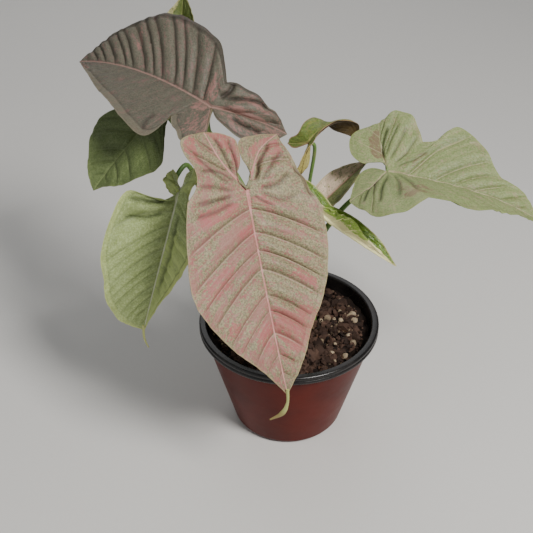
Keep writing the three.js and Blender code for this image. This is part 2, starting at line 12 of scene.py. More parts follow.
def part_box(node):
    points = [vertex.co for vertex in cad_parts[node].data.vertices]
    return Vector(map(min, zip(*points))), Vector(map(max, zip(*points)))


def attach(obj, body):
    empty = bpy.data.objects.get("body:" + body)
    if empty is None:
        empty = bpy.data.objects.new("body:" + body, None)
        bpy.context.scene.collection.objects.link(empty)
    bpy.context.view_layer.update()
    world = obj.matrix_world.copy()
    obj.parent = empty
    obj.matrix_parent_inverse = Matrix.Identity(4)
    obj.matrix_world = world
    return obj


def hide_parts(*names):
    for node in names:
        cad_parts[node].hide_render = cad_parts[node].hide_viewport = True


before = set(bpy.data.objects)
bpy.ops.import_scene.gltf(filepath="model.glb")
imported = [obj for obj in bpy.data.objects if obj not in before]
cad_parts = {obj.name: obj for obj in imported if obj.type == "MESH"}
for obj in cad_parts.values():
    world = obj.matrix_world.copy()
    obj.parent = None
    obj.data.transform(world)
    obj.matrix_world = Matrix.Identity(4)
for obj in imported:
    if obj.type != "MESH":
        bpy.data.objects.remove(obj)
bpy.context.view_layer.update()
MM = 0.001
BODY = "root"


# ---------- driving sizes ----------
def in_mm(corner):
    return np.array(corner) / MM


POT_TOP = in_mm(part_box("pot")[1])
RIM_RADIUS = POT_TOP[0]
POT_HEIGHT = POT_TOP[2]
POT = {
    "rim_drop": 6.0,
    "rim_groove": 0.8,
    "rim_round": 0.8,
    "mouth": 55.2,
    "neck": 56.4,
    "foot": 38.0,
    "foot_round": 3.0,
    "wall": 1.6,
    "floor": 2.0,
    "drains": 6,
    "drain_radius": 4.0,
    "drain_circle": 24.0,
    "sides": 144,
}
SOIL_LEVEL = 72.6

ROW_MM = 0.75  # spacing of a blade's rows along its midrib
BLADE = {
    "thickness": 0.5,
    "rim_thickness": 0.3,
    "lobe_veins": 3,
    "lobe_lean": 1.6,
    "columns": 34,
    "sinus_columns": 12,
    "crowding": 0.55,
    "vein_bow": 1.3,
    "vein_slant": 0.75,  # distance across the veins over that along the midrib
    "quilt_lean": 0.7,
    "quilt_skew": 1.3,
    "keel": 1.5,
    "keel_width": 1.5,
    "lobe_keel": 0.8,
    "keel_full_at": 90,
    "lobe_reach": 40,
    "minor_veins": 4,
    "weld": 0.01,
    "band_share": 0.15,  # of a blade half's width, where the half is too narrow for its look's band
}

# ---------- leaves ----------
# Outlines, angles and places as in the CAD source, with vein counts, quilts and leans of this script's own.
# Those weren't all worked out by hand. A scratch program's least squares fit, to points marked by eye on the
# photo, gave the first ones, and nearly half are still its rounded results. Most of the arched leaf's come
# from scratch programs' random searches. The others were typed in by hand, and for some leaves a scratch
# program had first listed where points picked along the margin on the photo lie on the blade.
#
# A blade lies flat along u, from its petiole at (0, 0) to its tip at (length, 0). Each half's outline is in
# [u, distance out]: neck is the sinus side of the basal lobe, lobe its end, cheek its outer side, shoulder
# the notch before the front lobe and flank the margin from there to the tip. rib is the vein down the lobe.
# fold lifts the half at its base and tip; lobe_lift, lobe_fold and lobe_drop bend the lobe, and curl rolls
# the margin out from curl_from. quilt is how far tissue stands up between veins, wave the ruffle, sweep and
# notch where the veins meet the margin, and lean how far they bend outwards. Angles are in degrees.
HALF = {
    "rib": (-16, 12),
    "fold": (8, 8),
    "curl": 0,
    "lobe_lift": 8,
    "lobe_fold": (8, 8),
    "lobe_drop": 20,
    "quilt": 0.8,
    "wave": (0.8, 3),
    "sweep": 0.8,
    "notch": 0.01,
    "curl_from": 0.75,
    "lean": 0.0,
}


def half(**own):
    return {**HALF, **own}


LEAVES = {
    "leaf_front": {
        "at": (-26, -30, 198), "turn": (-71, -57, -12), "length": 119, "droop": (-4, 0), "veins": 10,
        "left": half(
            neck=[(-9, 4), (-19, 1), (-29, 3), (-30, 14)], rib=(-20, 12), lobe=(-28, 26),
            cheek=[(2, 37), (-16, 30)], shoulder=(17, 44),
            flank=[(39, 43), (60, 38), (84, 24), (106, 11)], lobe_drop=27, quilt=2.0,
        ),
        "right": half(
            neck=[(-7, 5), (-17, 1), (-28, 1), (-33, 9)], rib=(-17, 13), lobe=(-35, 21),
            cheek=[(-10, 31), (-31, 37)], shoulder=(2, 40),
            flank=[(26, 46), (58, 47), (84, 31), (104, 12)], lobe_drop=6, quilt=1.6, lean=0.3,
        ),
    },
    "leaf_upper_left": {
        "at": (-47, 10, 230), "turn": (144, 15, 7), "length": 106, "droop": (19, 12), "veins": 14,
        "left": half(
            neck=[(-6, 9), (-15, 22)], rib=(-10, 17), lobe=(-19, 34), cheek=[(9, 25), (-8, 34)],
            shoulder=(14, 19), flank=[(16, 40), (36, 38), (62, 28), (84, 16)], fold=(-26, -15),
            lobe_lift=-13, lobe_fold=(-15, -15), lobe_drop=26, quilt=0.25, lean=0.3, notch=0.35,
        ),
        "right": half(
            neck=[(-9, -4), (-25, 0), (-34, 14)], rib=(-18, 12), lobe=(-34, 30),
            cheek=[(-4, 22), (-19, 27)], shoulder=(1, 18), flank=[(20, 38), (48, 44), (72, 36), (93, 16)],
            fold=(56, 45), lobe_lift=23, lobe_fold=(40, 26), lobe_drop=55, quilt=2.0, lean=0.45, curl=-70,
            curl_from=0.78,
        ),
    },
    "leaf_right": {
        "at": (57, 0, 193), "turn": (-13, -5, -1), "length": 94, "droop": (0, 25), "veins": 7,
        "left": half(
            neck=[(-4, 6), (-10, 3), (-16, 1), (-24, 7), (-25, 20)], rib=(-7, 16), lobe=(-11, 31),
            cheek=[(9, 38), (-2, 41)], shoulder=(17, 24),
            flank=[(25, 27), (35, 40), (50, 32), (64, 17), (83, 10)], fold=(33, 30), lobe_lift=35,
            lobe_fold=(41, 21), lobe_drop=0, quilt=1.5, lean=0.6, notch=0.25,
        ),
        "right": half(
            neck=[(-10, -3), (-17, 7)], rib=(-9, 17), lobe=(-18, 31), cheek=[(14, 43), (0, 44)],
            shoulder=(26, 32), flank=[(38, 29), (51, 30), (71, 15), (88, 6)], fold=(11, 5), lobe_lift=-13,
            lobe_fold=(-12, 0), lobe_drop=13, quilt=1.2, lean=0.35,
        ),
    },
    "leaf_left": {
        "at": (-81, 42, 214), "turn": (218, -34, -4), "length": 66, "droop": (3, 8), "veins": 6,
        "left": half(
            neck=[(-6, 2), (-12, 3)], rib=(-9, 6), lobe=(-17, 7), cheek=[(4, 13), (-7, 10)],
            shoulder=(13, 20), flank=[(27, 34), (41, 30), (55, 16), (61, 5)], fold=(2, 10),
        ),
        "right": half(
            neck=[(-6, 2), (-14, 4)], rib=(-12, 8), lobe=(-23, 10), cheek=[(-3, 21), (-15, 17)],
            shoulder=(13, 23), flank=[(29, 30), (42, 25), (54, 16), (62, 7)], fold=(11, 12), quilt=0.9,
        ),
    },
    "leaf_lower_left": {
        "at": (-67, -5, 184), "turn": (-120, -59, -6), "length": 92, "droop": (4, 8), "veins": 12,
        "sway": -3.5,
        "left": half(
            neck=[(-4, 2), (-9, 3)], rib=(-7, 6), lobe=(-14, 7), cheek=[(0, 10), (-9, 13)],
            shoulder=(6, 13), flank=[(17, 17), (28, 29), (47, 24), (73, 8)], fold=(32, 26), lobe_lift=20,
            lobe_fold=(20, 10), lobe_drop=10,
        ),
        "right": half(
            neck=[(-3, 2), (-7, 3)], rib=(-5, 5), lobe=(-10, 7), cheek=[(3, 6), (-3, 11)],
            shoulder=(5, 2), flank=[(9, 8), (9, 19), (10, 31), (28, 36), (50, 36), (73, 29), (88, 19)],
            fold=(20, 11), lobe_lift=10, lobe_fold=(10, 10), lobe_drop=10, quilt=1.1, lean=0.3,
            wave=(1.2, 4), sweep=0.5, notch=0.3,
        ),
    },
    "leaf_top": {
        "at": (-71, 63, 232), "turn": (73, 66, 4), "length": 45, "droop": (-4, 1), "veins": 4,
        "left": half(
            neck=[(-4, 2), (-7, 4)], rib=(-5, 6), lobe=(-10, 9), cheek=[(-1, 12), (-7, 12)],
            shoulder=(5, 12), flank=[(13, 14), (21, 14), (31, 10), (39, 4)], fold=(35, 35), lobe_lift=30,
            lobe_fold=(30, 30), quilt=0.3, wave=(0.3, 2),
        ),
        "right": half(
            neck=[(-4, 2), (-7, 4)], rib=(-5, 6), lobe=(-10, 9), cheek=[(-1, 12), (-7, 12)],
            shoulder=(5, 12), flank=[(13, 14), (23, 14), (31, 12), (39, 6)], fold=(35, 35), lobe_lift=30,
            lobe_fold=(30, 30), quilt=0.3, wave=(0.3, 2),
        ),
    },
    "leaf_arched": {
        "at": (11, 20, 202), "turn": (27, 51, 0), "length": 49, "droop": (72, 93), "veins": 4,
        "left": half(
            neck=[(-5, 3), (-9, 8)], rib=(-5, 7), lobe=(-9, 14), cheek=[(-1, 11), (-5, 14)],
            shoulder=(2, 11), flank=[(9, 15), (18, 17), (28, 15), (38, 9)], fold=(14, -110), lobe_lift=12,
            quilt=0.3, wave=(0.3, 2),
        ),
        "right": half(
            neck=[(-4, -1), (-12, 1)], rib=(-9, 5), lobe=(-18, 10), cheek=[(-6, 9), (-14, 13)],
            shoulder=(1, 7), flank=[(6, 5), (14, 3), (24, 4), (35, 4)], fold=(20, 30), lobe_lift=20,
            lobe_fold=(69, 130), lobe_drop=66, quilt=0.3, wave=(0.3, 2),
        ),
    },
    "leaf_young": {
        "at": (14, -8, 171), "turn": (-22, -29, 0), "length": 60, "droop": (-2, -2), "veins": 5,
        "left": half(
            neck=[(-7, 2), (-17, 3)], rib=(-11, 5), lobe=(-24, 8), cheek=[(-6, 12), (-16, 12)],
            shoulder=(7, 8), flank=[(21, 10), (31, 10), (42, 8), (52, 4)], fold=(50, 45), lobe_lift=40,
            lobe_fold=(40, 40), quilt=0.3, wave=(0.3, 2),
        ),
        "right": half(
            neck=[(-7, 2), (-17, 3)], rib=(-11, 5), lobe=(-24, 8), cheek=[(-6, 12), (-16, 12)],
            shoulder=(5, 8), flank=[(14, 11), (23, 14), (36, 7), (49, 3)], fold=(74, 65), lobe_lift=50,
            lobe_fold=(60, 60), quilt=0.5, wave=(0.3, 2),
        ),
    },
    "leaf_pink": {
        "at": (16, 12, 159), "turn": (29, 35, 9), "length": 45, "droop": (3, 3), "veins": 4,
        "left": half(
            neck=[(-7, 2), (-14, 3)], rib=(-11, 6), lobe=(-21, 9), cheek=[(-6, 14), (-15, 13)],
            shoulder=(4, 10), flank=[(14, 11), (23, 11), (31, 8), (39, 4)], fold=(24, 24), lobe_lift=20,
            lobe_fold=(20, 20), quilt=0.3, wave=(0.3, 2),
        ),
        "right": half(
            neck=[(-7, 2), (-14, 3)], rib=(-11, 6), lobe=(-21, 9), cheek=[(-6, 14), (-15, 13)],
            shoulder=(5, 10), flank=[(13, 10), (21, 9), (29, 7), (38, 3)], fold=(12, 20), lobe_lift=20,
            lobe_fold=(20, 20), quilt=0.3, wave=(0.3, 2),
        ),
    },
}

# Folds that only one blade has: part of the blade, flat points along the fold, height (below 0 for a
# groove) and half its width. They were picked on the photo, and a scratch program turned some of the picks
# into flat points, as it did for some of the places of LOOKS' patches.
FOLDS = {
    "leaf_front": [
        ("left", [(-4, 6), (-14, 11), (-24, 20)], -1.3, 1.1),
        ("left", [(-3, 10), (-12, 18), (-18, 27)], -0.9, 1.2),
        ("left", [(0, 8), (0, 18), (-6, 27)], -1.0, 1.2),
        ("left", [(2, 8), (8, 18), (8, 30)], -0.7, 1.2),
        ("left sinus", [(-8, 4), (-16, 6), (-26, 9)], 0.9, 1.5),
        ("right sinus", [(-8, 5), (-18, 4), (-30, 6)], -1.5, 0.9),
        ("right sinus", [(-9, 6), (-19, 7), (-31, 11)], 1.2, 1.0),
        ("right sinus", [(-10, 7), (-20, 10), (-32, 15)], -1.5, 0.9),
        ("right", [(2, 10), (3, 22), (4, 36)], -1.3, 1.1),
        ("right", [(5, 10), (9, 23), (11, 38)], -0.9, 1.0),
        ("left", [(-8, 30), (0, 36), (11, 39)], -1.5, 1.6),
        ("right", [(-5, 7), (-12, 17), (-14, 30)], -0.8, 1.1),
        ("right", [(0, 9), (-4, 20), (-6, 31)], -0.8, 1.1),
        ("right", [(-4, 10), (-12, 20), (-24, 30)], -0.7, 1.1),
        ("left", [(3, 3), (7, 7), (12, 14)], -1.0, 0.8),
        ("left", [(-3, 5), (-8, 8), (-16, 12)], -1.0, 0.8),
    ],
    "leaf_upper_left": [
        ("right", [(-6, 4), (-17, 17), (-28, 29)], 2.0, 1.9),
        ("right", [(-4, 1), (-18, 10), (-30, 20)], -2.2, 1.3),
        ("right", [(-3, 8), (-12, 18), (-22, 28)], -1.6, 1.2),
        ("right sinus", [(-12, 5), (-22, 12), (-31, 22)], 1.6, 1.7),
        ("right sinus", [(-12, 3), (-20, 7), (-29, 15)], -1.8, 1.2),
        ("right", [(-1, 7), (-3, 14), (-2, 20)], -1.8, 1.2),
        ("left", [(22, 24), (24, 31), (20, 38)], -0.9, 1.6),
    ],
    "leaf_right": [
        ("left", [(-4, 7), (-6, 17), (-5, 30)], -1.8, 0.9),
        ("left", [(-3, 9), (-2, 19), (1, 33)], -1.0, 0.8),
        ("left", [(0, 8), (3, 18), (6, 32)], -0.9, 0.8),
        ("left", [(3, 6), (9, 15), (13, 27)], -0.8, 0.8),
        ("left", [(5, 4), (15, 11), (22, 19)], -0.7, 0.9),
        ("right", [(-2, 5), (-8, 17), (-10, 32)], -1.4, 1.0),
        ("right", [(1, 5), (-1, 18), (0, 34)], -1.4, 1.0),
        ("right", [(4, 4), (8, 15), (10, 30)], -0.9, 1.1),
        ("right", [(6, 3), (14, 12), (20, 24)], -0.7, 1.1),
    ],
    "leaf_lower_left": [
        ("right", [(10, 6), (12, 16), (13, 29)], -1.4, 1.3),
        ("right", [(13, 5), (17, 15), (18, 30)], 1.6, 1.8),
        ("right", [(16, 5), (22, 16), (25, 29)], -1.4, 1.3),
        ("right", [(20, 5), (27, 15), (32, 27)], 1.0, 1.8),
        ("left", [(24, 10), (36, 14), (50, 12)], 0.9, 3.0),
        ("left", [(12, 6), (26, 6), (40, 7), (66, 4)], -0.9, 2.1),
    ],
    "leaf_young": [
        ("left", [(4, 4), (14, 8), (24, 8)], 0.9, 1.6),
        ("right", [(5, 11), (7, 6)], 1.3, 1.2),
        ("right", [(10, 12), (12, 6)], 1.3, 1.2),
        ("right", [(15, 13), (17, 7)], 1.3, 1.2),
        ("right", [(20, 13), (22, 8)], 1.2, 1.2),
    ],
}

# Withered ends: points from the blade's tip, and the radius along them.
DRIP_TIPS = {
    "leaf_front": {
        "route": [(0, 0, 4), (0, 0, -7), (-3, 1, -16), (-10, 2, -22)],
        "radii": (1, 0.8, 1.6, 0.5),
    },
    "leaf_lower_left": {"route": [(0, 0, 4), (0, 0, -7), (2, 0, -14)], "radii": (0.9, 0.8, 0.5)},
}

# Where a petiole's route is out of sight on the photo, it is a guess.
STEM = {
    "radius": 4.0,
    "foot": 52,
    "collar": 4,
    "petiole_radii": (2.5, 2.2, 1.9, 1.5, 1.5),
    "sides": 18,
    "step": 1.6,
    "approach_share": 0.08,  # of the leaf's length, how far below it a petiole turns up to it
    "slim_share": 0.8,  # thickness of a small leaf's petiole
    "slim_below": 70,  # length of a small leaf
}
STEMS = {
    "stem_left": {
        "foot": (-12, -2),
        "top": 92,
        "petioles": {
            "leaf_front": [(-12, -2, 80), (-17, 6, 120), (-26, 4, 160)],
            "leaf_upper_left": [(-12, -2, 74), (-22, 14, 120), (-40, 18, 175)],
            "leaf_lower_left": [(-12, -2, 70), (-30, 6, 118), (-54, 14, 165), (-64, 13, 190)],
        },
    },
    "stem_back": {
        "foot": (-8, 24),
        "top": 88,
        "petioles": {
            "leaf_left": [(-8, 24, 74), (-28, 36, 125), (-58, 46, 175)],
            "leaf_top": [(-8, 24, 80), (-24, 46, 140), (-56, 64, 195)],
        },
    },
    "stem_right": {
        "foot": (15, 8),
        "top": 94,
        "petioles": {
            "leaf_right": [(15, 8, 74), (17, 3, 118), (18, -4, 146), (27, 0, 160), (40, 5, 172)],
            "leaf_arched": [(15, 8, 82), (14, 24, 125), (12, 29, 160)],
            "leaf_young": [(15, 8, 78), (12, -6, 118), (8, -10, 150)],
            "leaf_pink": [(15, 8, 86), (17, 14, 115), (15, 17, 138)],
        },
    },
}


# ---------- colours ----------
def srgb(red, green, blue):
    """A screen colour, 0 to 255, as Blender's linear colour."""
    def linear(c):
        c /= 255
        return c / 12.92 if c <= 0.04045 else ((c + 0.055) / 1.055) ** 2.4
    return (linear(red), linear(green), linear(blue), 1.0)


LEAF_COLOURS = ("base", "fleck", "speck", "blush", "patch", "vein", "midrib", "margin", "fold", "under")
LOOK = {"tones_and_half_light": (1, 1), "through": 0.3}

# Each blade's screen colours. fold is the dark colour of painted shade: beside the vein lines, in
# grooves, along the margin band's inner edge and in dark bands. Pairs are for its left and right half:
# bands is the width of the band along the margin, borders how pale the band is (below 0 for a band of
# painted shade, as on a rolled margin), blushed how much of the half has the blush, and the half's tone how
# much lighter or darker it is painted, as painted light and shade for how the light falls on it. speckle
# says how strongly the specks show, ribs how strongly the midrib, the lobes' ribs and the vein lines do,
# and through how much of the patches shows underneath. patches are flushes of colour, and the two on the
# lower left leaf's lobes are painted light: part of the blade, place and reach along the midrib (as a
# share of it, negative on the lobe), place and reach from midrib to margin, and strength.
LOOKS = {
    "leaf_front": {
        "slot": "pink_leaf", "base": (115, 111, 82), "fleck": (157, 149, 114), "speck": (156, 84, 86),
        "speckle": 0.75, "blush": (156, 105, 99), "patch": (168, 94, 93), "vein": (184, 158, 140),
        "midrib": (206, 150, 144), "margin": (164, 150, 110), "fold": (60, 42, 34),
        "under": (120, 116, 88), "bands": (3.2, 4.2), "borders": (0.35, 0.1), "blushed": (0.45, 1.25),
        "ribs": (0.9, 0.9, 0.5), "roughness": 0.52,
        "patches": [
            ("left", 0.65, 0.12, 0.5, 0.62, 1.3), ("left", 0.58, 0.13, 0.88, 0.3, 1.3),
            ("left", 0.8, 0.06, 0.3, 0.3, 0.7), ("right", 0.7, 0.09, 0.28, 0.3, 1.0),
            ("right", 0.33, 0.06, 0.6, 0.25, 0.9), ("right", 0.55, 0.04, 0.78, 0.16, 0.8),
            ("right", 0.06, 0.04, 0.5, 0.35, 1.3), ("right", 0.19, 0.04, 0.15, 0.2, 0.8),
            ("left", 0.34, 0.04, 0.7, 0.25, 0.8), ("left", 0.05, 0.04, 0.2, 0.2, 0.8),
            ("right", -0.62, 0.2, 0.76, 0.2, 2.0), ("right", 0.9, 0.05, 0.7, 0.3, 0.6),
            ("left", -0.73, 0.23, 0.4, 0.4, 1.0), ("right sinus", -0.67, 0.5, 0.6, 0.2, 2.0),
            ("right sinus", -0.67, 0.5, 0.92, 0.12, 2.0), ("left sinus", -0.73, 0.33, 0.3, 0.25, 1.2),
        ],
    },
    "leaf_upper_left": {
        "slot": "pink_leaf", "base": (82, 82, 69), "fleck": (100, 98, 83), "speck": (124, 80, 74),
        "speckle": 0.2, "blush": (118, 92, 86), "patch": (146, 106, 98), "vein": (146, 112, 102),
        "midrib": (160, 126, 116), "margin": (122, 114, 94), "fold": (38, 30, 24), "under": (84, 78, 52),
        # The far half's dark band is painted shade on its rolled margin, and the near half is painted darker
        # as painted shade.
        "bands": (5.0, 10.0), "borders": (0.6, -1.0), "blushed": (0.05, 0.3), "tones_and_half_light": (0.86, 1.0),
        "ribs": (0.75, 0.75, 0.12), "roughness": 0.55,
        "patches": [
            ("right", -0.45, 0.3, 0.12, 0.12, 1.2), ("right", -0.5, 0.25, 0.55, 0.1, 1.0),
            ("right sinus", -0.8, 0.2, 0.4, 0.3, 0.7), ("right", 0.56, 0.02, 0.6, 0.3, 0.6),
            ("right", 0.04, 0.05, 0.3, 0.4, 0.7), ("left", 0.9, 0.1, 0.85, 0.2, 0.7),
            ("left", -0.3, 0.4, 0.35, 0.6, 0.55), ("left", 0.03, 0.08, 0.2, 0.25, 0.8),
            ("right", -0.6, 0.45, 0.5, 0.6, 0.45), ("right sinus", -0.5, 0.5, 0.5, 0.5, 0.5),
        ],
    },
    "leaf_right": {
        "slot": "pale_leaf", "base": (115, 130, 78), "fleck": (137, 148, 98), "speck": (156, 134, 108),
        "speckle": 0.3, "blush": (150, 140, 108), "patch": (116, 90, 70), "vein": (172, 162, 128),
        "midrib": (190, 170, 144), "margin": (140, 152, 88), "fold": (46, 58, 26),
        "under": (108, 122, 76), "bands": (3.2, 3.2), "borders": (0.1, 0.25), "blushed": (0.1, 0.1),
        "ribs": (0.5, 0.5, 0.6), "roughness": 0.5,
        "patches": [
            ("left sinus", -0.57, 0.33, 0.2, 0.3, 1.5), ("right", 0.06, 0.08, 0.66, 0.25, 0.6),
            ("right", -0.06, 0.1, 0.66, 0.25, 0.6), ("left", 0.12, 0.07, 0.35, 0.25, 0.5),
        ],
    },
    "leaf_left": {
        "slot": "green_leaf", "base": (90, 106, 58), "fleck": (116, 130, 80), "speck": (110, 124, 74),
        "speckle": 0.35, "blush": (96, 112, 60), "patch": (112, 126, 76), "vein": (126, 138, 88),
        "midrib": (138, 150, 98), "margin": (122, 134, 76), "fold": (40, 48, 22), "under": (92, 108, 64),
        "bands": (2.5, 2.5), "borders": (0.1, 0.2), "blushed": (0.4, 0.4), "ribs": (0.55, 0.55, 0.5),
        "roughness": 0.5, "patches": [],
    },
    "leaf_lower_left": {
        "slot": "pale_leaf", "base": (146, 161, 98), "fleck": (172, 186, 128), "speck": (156, 168, 118),
        "speckle": 0.3, "blush": (132, 146, 88), "patch": (196, 212, 128), "vein": (156, 166, 122),
        "midrib": (226, 230, 200), "margin": (204, 212, 128), "fold": (44, 56, 22),
        # The underside is painted paler than the leaf's own, partly as painted light for its lobes in shade.
        "under": (164, 180, 102), "bands": (3.6, 3.6), "borders": (0.9, 0.4), "blushed": (0.5, 0.5),
        # Both halves are painted brighter, as painted light.
        "tones_and_half_light": (1.2, 1.1), "ribs": (0.95, 0.1, 0.4), "roughness": 0.48,
        # The two patches at -0.5 on the lobes are painted light: bright flushes on lobes that lie in shade.
        "patches": [
            ("left", 0.72, 0.5, 0.6, 0.8, 2.4), ("right", -0.5, 0.53, 0.5, 0.8, 1.5),
            ("left", -0.5, 0.53, 0.5, 0.8, 1.5),
        ],
    },
    "leaf_top": {
        "slot": "green_leaf", "base": (72, 86, 34), "fleck": (96, 108, 50), "speck": (104, 114, 58),
        "speckle": 0.35, "blush": (96, 108, 50), "patch": (172, 164, 112), "vein": (114, 126, 66),
        "midrib": (140, 146, 86), "margin": (178, 172, 118), "fold": (34, 42, 14),
        "under": (112, 124, 60), "bands": (2.0, 2.0), "borders": (0.2, 0.2), "blushed": (0.4, 0.4),
        "ribs": (0.6, 0.6, 0.5), "roughness": 0.42, "patches": [("left", 0.55, 0.55, 1.0, 0.3, 1.0)],
    },
    "leaf_arched": {
        "slot": "young_leaf", "base": (88, 108, 42), "fleck": (118, 134, 58), "speck": (136, 146, 78),
        "speckle": 0.35, "blush": (128, 126, 60), "patch": (170, 158, 88), "vein": (146, 154, 86),
        "midrib": (166, 160, 96), "margin": (182, 130, 108), "fold": (48, 44, 16), "under": (74, 58, 26),
        "bands": (1.2, 1.2), "borders": (0.1, 0.1), "blushed": (0.4, 0.4), "ribs": (0.6, 0.6, 0.3),
        "through": 1.0, "roughness": 0.42,
        "patches": [("right", -0.5, 0.5, 0.5, 0.7, 1.4), ("right sinus", -0.5, 0.5, 0.5, 0.7, 1.4)],
    },
    "leaf_young": {
        "slot": "young_leaf", "base": (70, 96, 24), "fleck": (110, 138, 44), "speck": (136, 156, 72),
        "speckle": 0.4, "blush": (96, 124, 34), "patch": (152, 188, 66), "vein": (134, 152, 72),
        "midrib": (196, 182, 132), "margin": (204, 194, 136), "fold": (34, 46, 10),
        # The underside is cream, painted near white: partly painted light for the shaded near half.
        "under": (250, 242, 180), "bands": (1.6, 1.6), "borders": (0.3, 0.3), "blushed": (0.4, 0.4),
        "ribs": (0.8, 0.8, 0.3), "through": 1.0, "roughness": 0.32,
        "patches": [("right", 0.26, 0.3, 0.85, 0.5, 2.2), ("left", 0.24, 0.24, 0.6, 0.7, 1.2)],
    },
    "leaf_pink": {
        "slot": "pink_leaf", "base": (120, 130, 78), "fleck": (140, 148, 92), "speck": (110, 108, 60),
        "speckle": 0.3, "blush": (96, 96, 52), "patch": (238, 208, 186), "vein": (120, 124, 76),
        "midrib": (194, 150, 132), "margin": (206, 192, 142), "fold": (60, 56, 28), "under": (66, 80, 36),
        "bands": (1.8, 1.8), "borders": (0.4, 0.5), "blushed": (0.3, 0.3), "ribs": (0.8, 0.8, 0.3),
        "roughness": 0.42,
        "patches": [("left", 0.4, 1.0, 0.5, 0.9, 2.4), ("left", -0.5, 1.0, 0.5, 0.9, 2.4)],
    },
}


def look_of(name):
    """A blade's look with its defaults, and its colours as Blender's."""
    look = {**LOOK, **LOOKS[name]}
    return {key: srgb(*value) if key in LEAF_COLOURS else value for key, value in look.items()}


# ---------- procedural materials ----------
class Paint:
    """One procedural material. Its methods add nodes and give back the socket that holds the result."""

    def __init__(self, name):
        self.material = bpy.data.materials.new(name)
        self.material.use_nodes = True
        self.tree = self.material.node_tree
        self.tree.nodes.clear()

    def node(self, kind, inputs, **settings):
        made = self.tree.nodes.new(kind)
        for key, value in settings.items():
            setattr(made, key, value)
        for key, value in inputs.items():
            if isinstance(value, bpy.types.NodeSocket):
                self.tree.links.new(value, made.inputs[key])
            elif value is not None:
                made.inputs[key].default_value = value
        return made

    def attribute(self, name, output="Fac"):
        return self.node("ShaderNodeAttribute", {}, attribute_name=name).outputs[output]

    def place(self):
        return self.node("ShaderNodeTexCoord", {}).outputs["Object"]

    def split(self, vector):
        return self.node("ShaderNodeSeparateXYZ", {"Vector": vector}).outputs

    def join(self, x, y, z):
        return self.node("ShaderNodeCombineXYZ", {"X": x, "Y": y, "Z": z}).outputs[0]

    def math(self, operation, a, b=None):
        inputs = {0: a} if b is None else {0: a, 1: b}
        return self.node("ShaderNodeMath", inputs, operation=operation).outputs[0]

    def times(self, a, b):
        return self.math("MULTIPLY", a, b)

    def plus(self, a, b):
        return self.math("ADD", a, b)

    def minus(self, a, b):
        return self.math("SUBTRACT", a, b)

    def size(self, a):
        return self.math("ABSOLUTE", a)

    def math_vector(self, operation, a, b):
        return self.node("ShaderNodeVectorMath", {0: a, 1: b}, operation=operation).outputs[0]

    def step(self, value, low, high):
        """0 below low and 1 above high, smooth in between; the other way round where low is above high."""
        ends = {"Value": value, "From Min": min(low, high), "From Max": max(low, high)}
        ends["To Min"] = 1.0 if low > high else 0.0
        ends["To Max"] = 0.0 if low > high else 1.0
        return self.node("ShaderNodeMapRange", ends, interpolation_type="SMOOTHSTEP").outputs["Result"]

    def noise(self, vector, scale, detail=3.0, roughness=0.5):
        inputs = {"Vector": vector, "Scale": scale, "Detail": detail, "Roughness": roughness}
        return self.node("ShaderNodeTexNoise", inputs).outputs["Fac"]

    def cells(self, vector, scale):
        """Distance to the nearest edge between cells."""
        inputs = {"Vector": vector, "Scale": scale}
        return self.node("ShaderNodeTexVoronoi", inputs, feature="DISTANCE_TO_EDGE").outputs["Distance"]

    def mix(self, share, a, b):
        inputs = {"Factor": share, 6: a, 7: b}
        return self.node("ShaderNodeMix", inputs, data_type="RGBA").outputs[2]

    def cover(self, colour, own, mask, strength):
        """The colour with its own one laid over it, where the mask is."""
        return self.mix(self.times(mask, strength), colour, own)

    def shade(self, colour, amount):
        """The colour made darker or lighter by a number around 1."""
        inputs = {"Color": colour, "Value": amount}
        return self.node("ShaderNodeHueSaturation", inputs).outputs["Color"]

    def bump(self, height, strength, distance, normal=None):
        inputs = {"Height": height, "Strength": strength, "Distance": distance, "Normal": normal}
        return self.node("ShaderNodeBump", inputs).outputs["Normal"]

    def finish(self, **surface):
        names = {
            "colour": "Base Color",
            "roughness": "Roughness",
            "normal": "Normal",
            "specular": "Specular IOR Level",
        }
        shader = self.node("ShaderNodeBsdfPrincipled", {names[k]: v for k, v in surface.items()})
        self.node("ShaderNodeOutputMaterial", {"Surface": shader.outputs[0]})
        return self.material


def ranged(paint, value, low, high):
    """A 0 to 1 value spread over low to high."""
    return paint.plus(paint.times(value, high - low), low)


